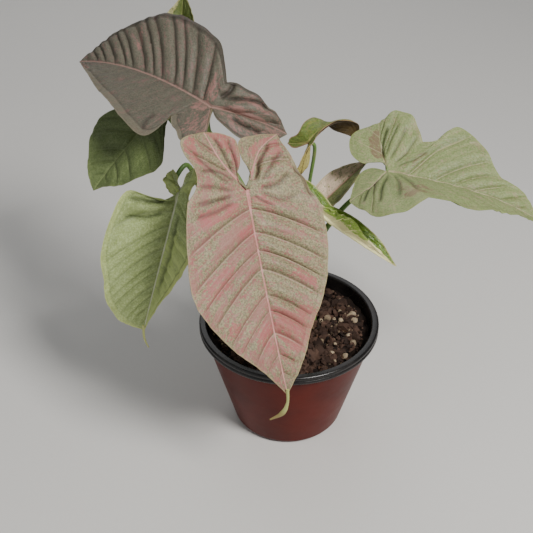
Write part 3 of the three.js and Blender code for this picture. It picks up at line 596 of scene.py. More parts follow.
def leaf_material(name, look, veins_apart):
    """Blushed and speckled tissue with flushes of colour, veins, a pale margin and a plainer underside. It
    has painted shade beside the vein lines, in grooves, along the margin band and in dark bands, and each
    half is painted lighter or darker as painted light and shade.
    """
    paint = Paint(name)
    phase, across, seed = paint.split(paint.attribute("blade", "Vector"))
    inner, outer, flush = paint.split(paint.attribute("measure", "Vector"))
    under = paint.attribute("under")
    place = paint.place()

    along_veins = paint.join(paint.times(phase, 7.0), paint.times(across, 6.0), seed)
    streak = paint.noise(along_veins, 1.0, 6.0, 0.68)
    wide_streak = paint.noise(paint.math_vector("MULTIPLY", along_veins, (0.32, 0.6, 1.0)), 1.0, 5.0, 0.62)
    grain = paint.noise(place, 1000.0, 2.0, 0.6)
    dots = paint.noise(paint.math_vector("ADD", place, (0.3, 0.1, 0.2)), 820.0, 3.0, 0.65)
    broad = paint.noise(place, 45.0, 2.0)
    colour = paint.mix(paint.step(grain, 0.38, 0.62), look["base"], look["fleck"])
    blush = paint.plus(wide_streak, paint.times(paint.attribute("blush"), 0.12))
    blush = paint.plus(blush, paint.times(dots, 0.7))
    colour = paint.cover(colour, look["blush"], paint.step(blush, 0.92, 1.03), 0.8)
    speck = paint.step(paint.plus(streak, paint.times(dots, 0.9)), 1.02, 1.14)
    colour = paint.cover(colour, look["speck"], speck, look["speckle"])
    colour = paint.shade(colour, ranged(paint, broad, 0.8, 1.2))
    # Painted light and shade: each half is made lighter or darker as a whole, for how the light falls on it.
    colour = paint.shade(colour, paint.attribute("tone_and_half_light"))

    ragged = paint.plus(paint.times(streak, 1.9), paint.times(dots, 0.9))
    flushed = paint.step(paint.plus(paint.times(flush, 0.5), ragged), 1.55, 1.85)
    colour = paint.cover(colour, look["patch"], flushed, 0.8)

    net_at = paint.join(paint.times(phase, 6.0), paint.times(across, 16.0), seed)
    net = paint.step(paint.cells(net_at, 1.0), 0.09, 0.0)
    colour = paint.cover(colour, look["vein"], net, 0.2)

    def to_line(count):
        """Millimetres to the nearest vein, where each main one has count of them."""
        turn = paint.math("FRACT", paint.plus(paint.times(phase, float(count)), 0.5))
        apart = paint.size(paint.minus(turn, 0.5))
        return paint.times(apart, veins_apart / count)

    midrib_shows, lobe_ribs_show, lines_show = look["ribs"]
    fade = paint.step(outer, 1.0, 9.0)
    # Painted shadow: the fold colour laid over the last part of each gap between veins, just before the next
    # vein line, as the shade of pleated tissue. It is weaker near the margin, left out where the lobe meets
    # the front, and only as strong as the half is quilted.
    before = paint.step(paint.math("FRACT", phase), 0.7, 0.98)
    shadow = paint.times(before, ranged(paint, fade, 0.05, 0.3))
    clear = paint.step(paint.size(phase), 0.25, 0.6)
    shadow = paint.times(paint.times(shadow, clear), paint.attribute("pleat_shade"))
    colour = paint.mix(shadow, colour, look["fold"])
    major = paint.times(paint.step(to_line(1), 0.42, 0.08), ranged(paint, fade, 0.3, 1.0))
    major = paint.times(major, clear)
    minor = paint.times(paint.step(to_line(BLADE["minor_veins"]), 0.3, 0.04), 0.3)
    line = paint.times(paint.math("MAXIMUM", major, minor), lines_show)
    colour = paint.mix(line, colour, look["vein"])
    # Painted shade: the fold colour darkens the blade's own grooves, by how deep they dip.
    colour = paint.cover(colour, look["fold"], paint.attribute("groove"), 0.7)
    flare = paint.times(paint.step(paint.size(phase), 1.6, 0.0), 0.8)
    rib = paint.step(paint.minus(inner, flare), 0.75, 0.3)
    rib_shows = ranged(paint, paint.step(phase, -0.8, 0.0), lobe_ribs_show, midrib_shows)
    colour = paint.cover(colour, look["midrib"], rib, rib_shows)
    edge = paint.attribute("edge")
    from_line = paint.size(paint.minus(edge, 1.0))
    border = paint.attribute("border")
    # Painted shade: a thin dark line of the fold colour along the inner edge of the margin band, where its
    # groove is.
    crease = paint.times(paint.step(from_line, 0.3, 0.0), paint.size(border))
    colour = paint.cover(colour, look["fold"], crease, 0.45)
    inside_band = paint.step(edge, 1.0, 0.8)
    # Painted shade: where a half's border is below 0, its margin band is darkened with the fold colour, as
    # the shade of a rolled margin.
    painted_shade_band = paint.times(paint.step(border, 0.0, -1.0), inside_band)
    colour = paint.cover(colour, look["fold"], painted_shade_band, ranged(paint, broad, 0.1, 1.1))
    pale_band = paint.times(paint.step(border, 0.0, 1.0), inside_band)
    colour = paint.cover(colour, look["margin"], pale_band, 0.5)
    margin = paint.step(outer, 0.8, 0.3)
    colour = paint.cover(colour, look["margin"], margin, 0.6)

    below = paint.shade(look["under"], ranged(paint, broad, 0.82, 1.16))
    below = paint.cover(below, look["patch"], flushed, look["through"])
    below = paint.cover(below, paint.shade(look["under"], 1.25), net, 0.25)
    below = paint.mix(paint.math("MAXIMUM", major, rib), below, paint.shade(look["under"], 1.3))
    colour = paint.mix(under, colour, below)

    height = paint.minus(paint.times(grain, 0.8), paint.times(net, 0.7))
    normal = paint.bump(height, strength=0.6, distance=0.0003)
    roughness = ranged(paint, grain, look["roughness"] - 0.08, look["roughness"] + 0.12)
    return paint.finish(colour=colour, roughness=roughness, normal=normal, specular=0.4)


def stalk_fibres(paint, per_turn, per_mm):
    """How far along a stalk each point is, and the fibres that run along it."""
    along, around, _ = paint.split(paint.attribute("stalk", "Vector"))
    fibres_at = paint.join(paint.times(around, per_turn), paint.times(along, per_mm), 0.0)
    return along, paint.noise(fibres_at, 1.0, 4.0, 0.6)


def stem_material():
    """Green petioles, paler at the foot, and their dry brown sheaths."""
    paint = Paint("petiole")
    along, fibres = stalk_fibres(paint, per_turn=9.0, per_mm=0.06)
    broad = paint.noise(paint.place(), 60.0, 3.0)
    colour = paint.mix(paint.step(fibres, 0.35, 0.65), srgb(74, 110, 48), srgb(112, 142, 70))
    colour = paint.cover(colour, srgb(170, 140, 110), paint.step(broad, 0.55, 0.75), 0.4)
    foot = paint.step(along, 26.0, 2.0)
    colour = paint.cover(colour, srgb(150, 138, 92), foot, 0.75)
    dry = paint.attribute("dry")
    husk = paint.mix(fibres, srgb(120, 88, 56), srgb(184, 158, 116))
    colour = paint.mix(dry, colour, husk)
    normal = paint.bump(fibres, strength=0.4, distance=0.0002)
    return paint.finish(colour=colour, roughness=0.42, normal=normal, specular=0.45)


def pot_body_material():
    """Red-brown plastic with faint rings from the mould, scuffs and dust."""
    paint = Paint("pot_red")
    place = paint.place()
    x, y, z = paint.split(place)
    broad = paint.noise(place, 28.0, 4.0, 0.6)
    colour = paint.mix(paint.step(broad, 0.3, 0.7), srgb(74, 17, 8), srgb(92, 24, 12))
    dust = paint.step(paint.noise(place, 900.0, 2.0, 0.7), 0.69, 0.76)
    colour = paint.cover(colour, srgb(128, 92, 76), dust, 0.35)
    scuff_at = paint.join(paint.times(x, 0.6), paint.times(y, 0.6), z)
    scuff = paint.noise(scuff_at, 160.0, 5.0, 0.75)
    colour = paint.cover(colour, srgb(120, 66, 48), paint.step(scuff, 0.58, 0.8), 0.18)
    roughness = ranged(paint, scuff, 0.3, 0.5)
    rings = paint.math("SINE", paint.times(z, 5200.0))
    normal = paint.bump(rings, strength=0.12, distance=0.00006)
    grain = paint.noise(place, 500.0, 3.0)
    normal = paint.bump(grain, strength=0.15, distance=0.0001, normal=normal)
    return paint.finish(colour=colour, roughness=roughness, normal=normal, specular=0.13)


def pot_rim_material():
    """Black plastic, glossy on the rim, with dust."""
    paint = Paint("pot_black")
    place = paint.place()
    broad = paint.noise(place, 60.0, 4.0, 0.65)
    colour = paint.mix(paint.step(broad, 0.4, 0.75), srgb(20, 18, 18), srgb(38, 34, 33))
    dust = paint.step(paint.noise(place, 1000.0, 2.0, 0.7), 0.66, 0.74)
    colour = paint.cover(colour, srgb(130, 116, 104), dust, 0.4)
    roughness = ranged(paint, broad, 0.14, 0.42)
    grain = paint.noise(place, 420.0, 3.0)
    normal = paint.bump(grain, strength=0.12, distance=0.0001)
    return paint.finish(colour=colour, roughness=roughness, normal=normal, specular=0.4)


def crumb_material(name, dark, light, roughness, tone_and_half_light="tone_and_half_light", pits=1400.0):
    """Soil, bark or stone: a colour that varies from crumb to crumb, with pits."""
    paint = Paint(name)
    place = paint.place()
    own = paint.attribute(tone_and_half_light)
    fine = paint.noise(place, pits, 4.0, 0.7)
    colour = paint.mix(own, dark, light)
    colour = paint.shade(colour, ranged(paint, fine, 0.55, 1.45))
    normal = paint.bump(fine, strength=0.7, distance=0.0006)
    return paint.finish(colour=colour, roughness=roughness, normal=normal, specular=0.25)


# ---------- meshes ----------
def lerp(a, b, share):
    return a + (b - a) * share


def smooth(value, low, high):
    t = np.clip((value - low) / (high - low), 0, 1)
    return t * t * (3 - 2 * t)


def link(made):
    bpy.context.scene.collection.objects.link(made)


def make_piece(name, points, faces, materials, nodes, attributes=None, crease=None):
    """A mesh from points in millimetres, riding on the plant's body in place of the CAD nodes."""
    mesh = bpy.data.meshes.new(name)
    mesh.from_pydata((np.asarray(points) * MM).tolist(), [], faces)
    for key, values in (attributes or {}).items():
        values = np.asarray(values, np.float32)
        kind = "FLOAT" if values.ndim == 1 else "FLOAT_VECTOR"
        layer = mesh.attributes.new(key, kind, "POINT")
        layer.data.foreach_set("value" if kind == "FLOAT" else "vector", values.ravel())
    for material in materials:
        mesh.materials.append(material)
    mesh.shade_smooth()
    if crease is not None:
        mesh.set_sharp_from_angle(angle=math.radians(crease))
    piece = bpy.data.objects.new(name, mesh)
    link(piece)
    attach(piece, BODY)
    if nodes:
        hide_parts(*nodes)
    return piece


def seeded(seed):
    return np.random.default_rng(seed)


def around_once(sides):
    return np.linspace(0, 2 * math.pi, sides, endpoint=False)


def undulate(x, y, seed):
    """A gentle uneven height, about -1 to 1, as a sum of sine waves."""
    draw = seeded(seed)
    waves = 9
    total = np.zeros(np.broadcast(x, y).shape)
    for _ in range(waves):
        turn = draw.uniform(0, 2 * math.pi)
        speed = draw.uniform(0.5, 2.0) * 2 * math.pi
        shift = draw.uniform(0, 2 * math.pi)
        total += np.sin(speed * (math.cos(turn) * x + math.sin(turn) * y) + shift)
    return total / math.sqrt(waves * 2)


def rounded_rows(count, crowding):
    """0 to 1 in count steps, closer together towards both ends."""
    t = np.linspace(0, 1, count + 1)
    return lerp(t, (1 - np.cos(math.pi * t)) / 2, crowding)


def turned_faces(rings, sides, inward=False):
    """Faces round the rings of a turned shape, and caps to its two middle points, which come last."""
    first = rings * sides
    last = first + 1
    end = first - sides
    faces = []
    for j in range(sides):
        n = (j + 1) % sides
        faces.append([first, n, j])
        faces.append([last, end + j, end + n])
        for k in range(0, end, sides):
            faces.append([k + j, k + n, k + sides + n, k + sides + j])
    if inward:
        return [[face[0], *face[:0:-1]] for face in faces]
    return faces


# ---------- curves ----------
def distances(line):
    """How far each point is along the line."""
    return np.concatenate([[0], np.cumsum(np.linalg.norm(np.diff(line, axis=0), axis=1))])


def outline(points, samples=600):
    """A Catmull-Rom spline through flat points, read by the share of its length."""
    p = np.array([points[0], *points, points[-1]], float)
    parts = []
    t = np.linspace(0, 1, max(2, samples // (len(points) - 1)), endpoint=False)[:, None]
    for a, b, c, d in zip(p, p[1:], p[2:], p[3:]):
        v0 = (c - a) / 2
        v1 = (d - b) / 2
        parts.append((2 * b - 2 * c + v0 + v1) * t**3 + (-3 * b + 3 * c - 2 * v0 - v1) * t**2 + v0 * t + b)
    line = np.vstack([*parts, p[-1:]])
    lengths = distances(line)
    lengths /= lengths[-1]
    return lambda share: np.stack([np.interp(share, lengths, line[:, k]) for k in (0, 1)], -1)


def route(points, spacing):
    """Evenly spaced points on a centripetal Catmull-Rom curve through the points."""
    p = np.array(points, float)
    p = np.vstack([2 * p[0] - p[1], p, 2 * p[-1] - p[-2]])
    parts = []
    for a, b, c, d in zip(p, p[1:], p[2:], p[3:]):
        g0, g1, g2 = (max(np.linalg.norm(e - f), 1e-6) ** 0.5 for e, f in ((b, a), (c, b), (d, c)))
        t1 = ((b - a) / g0 - (c - a) / (g0 + g1) + (c - b) / g1) * g1
        t2 = ((c - b) / g1 - (d - b) / (g1 + g2) + (d - c) / g2) * g1
        t = np.linspace(0, 1, 60, endpoint=False)[:, None]
        parts.append(b + t1 * t + (3 * c - 3 * b - 2 * t1 - t2) * t**2 + (2 * b - 2 * c + t1 + t2) * t**3)
    line = np.vstack([*parts, p[-2:-1]])
    lengths = distances(line)
    count = max(4, round(lengths[-1] / spacing))
    stops = np.linspace(0, lengths[-1], count + 1)
    return np.stack([np.interp(stops, lengths, line[:, k]) for k in range(3)], -1), stops


def frames(line):
    """Two sideways directions along a line that turn as little as they can."""
    along = np.gradient(line, axis=0)
    along /= np.linalg.norm(along, axis=1)[:, None]
    side = np.cross(along[0], [0.3, 1, 0.2])
    sides = []
    for tangent in along:
        side = side - tangent * (side @ tangent)
        side = side / np.linalg.norm(side)
        sides.append(side)
    sides = np.array(sides)
    return sides, np.cross(along, sides)


# ---------- blades ----------
def midrib_bend(leaf, side):
    """Place and slope along the bent midrib, by u."""
    even, late = np.radians(leaf["droop"])
    drop = math.radians(side["lobe_drop"])
    length = leaf["length"]
    u = np.linspace(-2 * BLADE["lobe_reach"], length + 20, 2000)
    slope = np.where(u > 0, -(even * u / length + late * (u / length) ** 2), drop * -u / BLADE["lobe_reach"])
    step = u[1] - u[0]
    x = np.cumsum(np.cos(slope)) * step
    z = np.cumsum(np.sin(slope)) * step
    x -= np.interp(0, u, x)
    z -= np.interp(0, u, z)
    return lambda at: (np.interp(at, u, x), np.interp(at, u, z), np.interp(at, u, slope))


def vein_spacing(leaf):
    """About how far apart a blade's veins are, in millimetres across them."""
    return leaf["length"] / leaf["veins"] * BLADE["vein_slant"]


def turned(leaf):
    """The turn of a leaf from flat along X to its place on the plant."""
    heading, pitch, roll = np.radians(leaf["turn"])
    heading_and_pitch = Matrix.Rotation(heading, 3, "Z") @ Matrix.Rotation(-pitch, 3, "Y")
    return np.array(heading_and_pitch @ Matrix.Rotation(roll, 3, "X"))


def vein_phase(leaf, side, zone, share, w):
    """How many veins from the petiole, a little uneven, negative on the lobe. Veins lean outwards with w."""
    if zone != "front":
        return -BLADE["lobe_veins"] * share ** (1 + BLADE["lobe_lean"] * w)
    count = leaf["veins"] * share ** (1 + side["lean"] * w)
    return count + 0.16 * np.sin(2.3 * count + leaf["length"]) * np.sin(math.pi * share)


def tissue(side, zone, share, w, phase):
    """Height of the tissue standing up between veins, and the ruffle of the margin."""
    if zone == "sinus":
        return np.zeros(np.broadcast(share, w).shape)
    between = (1 - np.cos((np.abs(phase) % 1) ** BLADE["quilt_skew"] * math.pi * 2)) / 2
    across = np.sin(math.pi * w ** BLADE["quilt_lean"])
    fade = 1 - share**3 if zone == "front" else 1 - share
    height, count = side["wave"]
    ruffle = height * w**3 * np.sin(share * count * math.pi * 2) * np.sin(math.pi * share)
    return side["quilt"] * between**0.75 * across * fade + ruffle


def half_surface(leaf, side, sign):
    """surface(zone, share, w) of one half: points, how far each is from its rib and its margin, and where it
    lies on the flat blade.
    """
    end = (leaf["length"], 0)
    margins = {
        "front": outline([side["shoulder"], *side["flank"], end]),
        "lobe": outline([side["shoulder"], *side["cheek"], side["lobe"]]),
        "sinus": outline([(0, 0), *side["neck"], side["lobe"]]),
    }
    rib = outline([(0, 0), side["rib"], side["lobe"]])
    bend = midrib_bend(leaf, side)
    turn = turned(leaf)

    def tilt(zone, share, w):
        if zone == "sinus":
            return math.radians(side["lobe_fold"][1])
        last = side["fold"][1] if zone == "front" else side["lobe_fold"][0]
        roll = side["curl"] * smooth(w, side["curl_from"], 1)
        return np.radians(lerp(side["fold"][0], last, share) + roll)

    def surface(zone, share, w):
        front = zone == "front"
        start = np.stack([share * leaf["length"], share * 0], -1) if front else rib(share)
        stop = margins[zone](share ** side["sweep"] * smooth(share, 0, side["notch"]) if front else share)
        span = stop - start
        steps = 10
        out = np.zeros(np.broadcast(share, w).shape)
        lift = out.copy()
        for i in range(steps):
            angle = tilt(zone, share, w * (i + 0.5) / steps)
            out = out + np.cos(angle) * span[..., 1] * w / steps
            lift = lift + np.sin(angle) * span[..., 1] * w / steps
        if not front:
            lobe_lift = math.radians(side["lobe_lift"])
            out = out + start[..., 1] * math.cos(lobe_lift)
            lift = lift + start[..., 1] * math.sin(lobe_lift)
        u = start[..., 0] + span[..., 0] * w ** BLADE["vein_bow"]
        lift = lift + tissue(side, zone, share, w, vein_phase(leaf, side, zone, share, w))
        x, z, slope = bend(u)
        along = np.maximum(u / leaf["length"], 0)
        outward = sign * out + leaf.get("sway", 0) * along**2
        flat = np.stack([x - lift * np.sin(slope), outward, z + lift * np.cos(slope)], -1)
        reach = np.linalg.norm(span, axis=-1)
        spread_out = np.stack([u, start[..., 1] + span[..., 1] * w], -1)
        return flat @ turn.T + np.array(leaf["at"]), w * reach, (1 - w) * reach, spread_out

    return surface


def fold_height(folds, part, flat):
    """Millimetres that a blade's own folds lift each point, from its flat place."""
    total = np.zeros(flat.shape[:-1])
    for fold_part, points, height, width in folds:
        if fold_part != part:
            continue
        share = np.linspace(0, 1, 40)
        line = outline(points)(share)
        away = np.linalg.norm(flat[..., None, :] - line, axis=-1)
        fade = smooth(np.sin(math.pi * share[away.argmin(-1)]), -0.1, 0.5)
        total += height * np.exp(-((away.min(-1) / width) ** 2)) * fade
    return total


def flush_field(patches, part, along, w):
    """How far inside a flush of colour each point is: above 0 inside."""
    field = np.full(np.broadcast(along, w).shape, -1.0)
    for patch_part, centre, reach, middle, spread, strength in patches:
        if patch_part != part:
            continue
        away = np.abs((along - centre) / reach) ** 3 + np.abs((w - middle) / spread) ** 3
        field = np.maximum(field, strength * (1 - away))
    return np.clip(field, -1, 1)


def blade_grid(name, leaf):
    """The middle sheet of a blade: points, faces and what is known at each point."""
    columns = rounded_rows(BLADE["columns"], BLADE["crowding"])[None, :]
    sinus_columns = np.linspace(0, 1, BLADE["sinus_columns"] + 1)[None, :]
    points, facts, quads = [], [], []
    total = 0
    for side_name, sign in (("left", 1), ("right", -1)):
        side = leaf[side_name]
        surface = half_surface(leaf, side, sign)
        lobe_rows = max(12, round(math.dist((0, 0), side["lobe"]) / ROW_MM))
        front_rows = round(leaf["length"] / ROW_MM)
        for zone, rows, w in (
            ("front", front_rows, columns),
            ("lobe", lobe_rows, columns),
            ("sinus", lobe_rows, sinus_columns),
        ):
            share = np.linspace(0, 1, rows + 1)[:, None]
            where, inner, outer, flat = surface(zone, share, w)
            phase = vein_phase(leaf, side, zone, share, w)
            part = side_name + " sinus" if zone == "sinus" else side_name
            flush = flush_field(LOOKS[name]["patches"], part, share if zone == "front" else -share, w)
            fold = fold_height(FOLDS.get(name, []), part, flat)
            quilt = np.full(phase.shape, 0.0 if zone == "sinus" else side["quilt"])
            share = share + w * 0
            signed = sign * w + share * 0
            points.append(where.reshape(-1, 3))
            known = [phase, signed, inner, outer, flush, quilt, share, fold]
            facts.append(np.stack(known, -1).reshape(-1, len(known)))
            index = total + np.arange(share.size).reshape(share.shape)
            corners = [index[:-1, :-1], index[1:, :-1], index[1:, 1:], index[:-1, 1:]]
            if (sign < 0) != (zone == "lobe"):
                corners.reverse()
            quads.append(np.stack(corners, -1).reshape(-1, 4))
            total += share.size
    points = np.vstack(points)
    facts = np.vstack(facts)
    quads = np.vstack(quads)
    cells = np.round(points / BLADE["weld"]).astype(np.int64)
    _, first, inverse = np.unique(cells, axis=0, return_index=True, return_inverse=True)
    quads = inverse.reshape(-1)[quads]
    return points[first], facts[first], clean_faces(quads)


def clean_faces(quads):
    """Four-cornered faces, with those that have closed up dropped or turned into triangles."""
    faces = []
    for quad in quads.tolist():
        corners = [c for k, c in enumerate(quad) if c != quad[k - 1]]
        if len(set(corners)) == len(corners) and len(corners) > 2:
            faces.append(corners)
    return faces


def point_normals(points, faces):
    """The mean direction of the faces round each point, by their area."""
    triangles = np.array([(f[0], f[k], f[k + 1]) for f in faces for k in range(1, len(f) - 1)])
    a, b, c = (points[triangles[:, k]] for k in range(3))
    normal = np.cross(b - a, c - a)
    total = np.zeros_like(points)
    for k in range(3):
        np.add.at(total, triangles[:, k], normal)
    return total / np.maximum(np.linalg.norm(total, axis=1), 1e-12)[:, None]


def fine_relief(leaf, facts, seed, band, border):
    """Millimetres along the normal: folds, unevenness, and grooves of veins, margin band and midrib."""
    phase, signed, inner, outer, _, quilt, share, fold = facts.T
    w = np.abs(signed)
    apart = vein_spacing(leaf)
    to_vein = np.abs(phase - np.round(phase)) * apart
    minor = phase * BLADE["minor_veins"]
    to_minor = np.abs(minor - np.round(minor)) * apart / BLADE["minor_veins"]
    inside = smooth(outer, 0.5, 6) * smooth(inner, 0, 3) * smooth(np.abs(phase), 0.25, 0.6)
    strength = np.clip(quilt, 0.15, 1.4)
    relief = fold - 0.65 * strength * np.exp(-((to_vein / 0.9) ** 2)) * inside
    relief -= 0.16 * strength * np.exp(-((to_minor / 0.5) ** 2)) * inside
    relief -= 0.5 * np.abs(border) * np.exp(-(((outer - band) / 0.8) ** 2)) * smooth(inner, 2, 8)
    relief -= 0.8 * np.exp(-((inner / 1.1) ** 2)) * (1 - np.clip(share, 0, 1)) ** 0.3
    relief += 0.22 * undulate(phase, signed * 3, seed) * smooth(inner, 0, 6)
    relief += 0.5 * undulate(phase * 0.9, signed, seed + 1) * w**5
    return relief


def blade(name):
    """One blade as a closed thin piece: its upper face, its underside with keels, and the rim between."""
    leaf = LEAVES[name]
    look = look_of(name)
    seed = list(LEAVES).index(name) + 1
    points, facts, faces = blade_grid(name, leaf)
    phase, signed, inner, outer, flush, quilt, share, fold = facts.T
    widest = BLADE["band_share"] * (inner + outer)

    def by_half(key):
        return np.where(signed > 0, *look[key])

    band = np.minimum(by_half("bands"), widest)
    border = by_half("borders")
    points = points + point_normals(points, faces) * fine_relief(leaf, facts, seed, band, border)[:, None]
    normals = point_normals(points, faces)
    full = min(1, leaf["length"] / BLADE["keel_full_at"])
    front = phase > 0
    stands = np.where(front, BLADE["keel"] * full * (1 - share**2), BLADE["lobe_keel"] * full * (1 - share))
    keel = stands * np.exp(-((inner / BLADE["keel_width"]) ** 2))
    veins = 0.12 * np.exp(-((np.abs(phase - np.round(phase)) * 10) ** 2)) * smooth(outer, 0.5, 5)
    thick = lerp(BLADE["rim_thickness"], BLADE["thickness"], smooth(outer, 0, 1.5))
    top = points + normals * thick[:, None] / 2
    below = points - normals * (thick / 2 + keel + veins)[:, None]
    count = len(points)
    sides = dict.fromkeys(pair for face in faces for pair in zip(face, face[1:] + face[:1]))
    walls = [[b, a, a + count, b + count] for a, b in sides if (b, a) not in sides]
    unders = [[c + count for c in reversed(face)] for face in faces]
    everything = np.vstack([top, below])
    blade_fact = np.stack([phase, signed, np.full(count, seed * 3.7)], -1)
    measure = np.stack([inner, outer, flush], -1)
    attributes = {
        "blade": np.vstack([blade_fact, blade_fact]),
        "measure": np.vstack([measure, measure]),
        "edge": np.tile(outer / np.maximum(band, 0.1), 2),
        "border": np.tile(border, 2),
        "blush": np.tile(by_half("blushed") * lerp(0.3, 1, smooth(phase, -1, 0.5)), 2),
        # Each half's painted light and shade, as a brightness.
        "tone_and_half_light": np.tile(by_half("tones_and_half_light"), 2),
        # Strength of the painted shadow beside the vein lines, by how quilted the half is.
        "pleat_shade": np.tile(np.clip(quilt, 0, 1), 2),
        # How deep each point lies in one of the blade's grooves, for the painted shade there.
        "groove": np.tile(np.clip(-fold, 0, 1), 2),
        "under": np.concatenate([np.zeros(count), np.ones(count)]),
    }
    material = leaf_material(name + "_tissue", look, vein_spacing(leaf))
    make_piece(name + "_blade", everything, faces + unders + walls, [material], [name],
               attributes, crease=60)
    home = int(np.argmin(np.linalg.norm(points - np.array(leaf["at"]), axis=1)))
    tip = int(np.argmax(phase))
    return {"under": below[home], "normal": normals[home], "tip": points[tip]}


# ---------- stalks ----------
def tube(line, radii, sides, twist=0.0, flat=1.0):
    """A closed round bar along the line: points, faces, and for each point its place along and around."""
    across, upward = frames(line)
    lengths = distances(line)
    turn = around_once(sides)
    rings = []
    for k, centre in enumerate(line):
        angle = turn + twist * lengths[k]
        ring = across[k] * np.cos(angle)[:, None] + upward[k] * np.sin(angle)[:, None] * flat
        rings.append(centre + ring * radii[k])
    points = np.vstack([*rings, line[:1], line[-1:]])
    along = np.concatenate([np.repeat(lengths, sides), [0, lengths[-1]]])
    around = np.concatenate([np.tile(turn, len(line)), [0, 0]])
    return points, turned_faces(len(line), sides), np.stack([along, np.cos(around), np.sin(around)], -1)


def spread(values, count):
    """The values as equally spaced stops, read at count places."""
    return np.interp(np.linspace(0, 1, count), np.linspace(0, 1, len(values)), values)


def sheath(line, radii, reach, turn_by):
    """The thin winged sheath that clasps a petiole's lower part and opens towards its top."""
    columns = 15
    thickness = 0.3
    half_wrap = (165, 40)  # degrees at the foot and at the top
    count = max(6, int(len(line) * reach))
    line = line[:count]
    across, upward = frames(line)
    outer, inner = [], []
    for k, centre in enumerate(line):
        t = k / (count - 1)
        reach_round = math.radians(lerp(*half_wrap, t**1.5))
        angle = turn_by + np.linspace(-reach_round, reach_round, columns)
        direction = across[k] * np.cos(angle)[:, None] + upward[k] * np.sin(angle)[:, None]
        gape = 1 + 0.25 * math.sin(math.pi * t) * np.abs(np.linspace(-1, 1, columns))
        radius = (radii[k] * 1.04 + 0.35) * gape * (1 - 0.12 * t**4)
        outer.append(centre + direction * radius[:, None])
        inner.append(centre + direction * (radius[:, None] - thickness))
    points = np.vstack(outer + inner)
    shift = count * columns
    faces = []
    for k in range(count - 1):
        for j in range(columns - 1):
            a = k * columns + j
            quad = [a, a + 1, a + columns + 1, a + columns]
            faces.append(quad)
            faces.append([c + shift for c in reversed(quad)])
    rim = list(range(columns))
    rim += [k * columns + columns - 1 for k in range(1, count)]
    rim += [(count - 1) * columns + j for j in range(columns - 2, -1, -1)]
    rim += [k * columns for k in range(count - 2, 0, -1)]
    for a, b in zip(rim, rim[1:] + rim[:1]):
        faces.append([b, a, a + shift, b + shift])
    lengths = np.linspace(0, 1, count) * 40
    along = np.tile(np.repeat(lengths, columns), 2)
    stalk = np.stack([along, np.tile(np.linspace(-1, 1, columns), 2 * count), along * 0], -1)
    return points, faces, stalk


class Bundle:
    """Several closed parts gathered into one mesh."""

    def __init__(self):
        self.points, self.faces, self.stalks, self.dry = [], [], [], []
        self.count = 0

    def add(self, part, dry=0.0):
        points, faces, stalk = part
        self.points.append(points)
        self.faces += [[c + self.count for c in face] for face in faces]
        self.stalks.append(stalk)
        self.dry.append(np.full(len(points), dry))
        self.count += len(points)

    def make(self, name, material, nodes):
        attributes = {"stalk": np.vstack(self.stalks), "dry": np.concatenate(self.dry)}
        points = np.vstack(self.points)
        return make_piece(name, points, self.faces, [material], nodes, attributes, crease=50)


def stem(name, seats, material):
    """A leafy stem: its short axis and the petioles with their sheaths, up into the blades' keels."""
    plan = STEMS[name]
    bundle = Bundle()
    x, y = plan["foot"]
    heights = (STEM["foot"], SOIL_LEVEL + STEM["collar"], plan["top"] - 4)
    line, _ = route([(x, y, height) for height in heights], spacing=2.0)
    radii = spread([1, 1.04, 1, 1.02, 0.9, 0.55], len(line)) * STEM["radius"]
    bundle.add(tube(line, radii, STEM["sides"]))
    for order, (leaf_name, points) in enumerate(plan["petioles"].items()):
        seat = seats[leaf_name]
        away = LEAVES[leaf_name]["length"] * STEM["approach_share"]
        ending = [seat["under"] - seat["normal"] * away, seat["under"] + seat["normal"] * 0.3]
        line, _ = route([*points, *ending], spacing=STEM["step"])
        slim = STEM["slim_share"] if LEAVES[leaf_name]["length"] < STEM["slim_below"] else 1.0
        radii = spread(STEM["petiole_radii"], len(line)) * slim
        bundle.add(tube(line, radii, STEM["sides"]))
        bundle.add(sheath(line, radii, reach=0.4, turn_by=order * 2.2), dry=0.15 + 0.2 * order)
    return bundle.make(name + "_petioles", material, [name])


def drip_tips(seats):
    """The withered thread-like ends of two blades, twisted and flattened."""
    paint = Paint("withered_tip")
    along, fibres = stalk_fibres(paint, per_turn=3.0, per_mm=0.4)
    colour = paint.mix(fibres, srgb(150, 160, 84), srgb(206, 206, 132))
    colour = paint.cover(colour, srgb(120, 82, 48), paint.step(along, 14.0, 24.0), 0.7)
    normal = paint.bump(fibres, strength=0.4, distance=0.0002)
    material = paint.finish(colour=colour, roughness=0.5, normal=normal)
    for leaf_name, drip in DRIP_TIPS.items():
        tip = seats[leaf_name]["tip"]
        line, _ = route([tip + np.array(p) for p in drip["route"]], spacing=0.8)
        radii = spread(drip["radii"], len(line))
        bundle = Bundle()
        bundle.add(tube(line, radii, sides=14, twist=0.22, flat=0.45))
        bundle.make(leaf_name + "_tip", material, [])


# ---------- pot ----------
def soften(corners, radius, steps=4):
    """A profile whose corners are rounded by that radius, where their sides are long enough."""
    p = np.array(corners, float)
    line = [p[0]]
    for before, corner, after in zip(p, p[1:], p[2:]):
        back, on = before - corner, after - corner
        cut = min(radius, np.linalg.norm(back) / 2.2, np.linalg.norm(on) / 2.2)
        a = corner + back / np.linalg.norm(back) * cut
        b = corner + on / np.linalg.norm(on) * cut
        for t in np.linspace(0, 1, steps + 1):
            line.append((1 - t) ** 2 * a + 2 * t * (1 - t) * corner + t**2 * b)
    line.append(p[-1])
    return np.array(line)


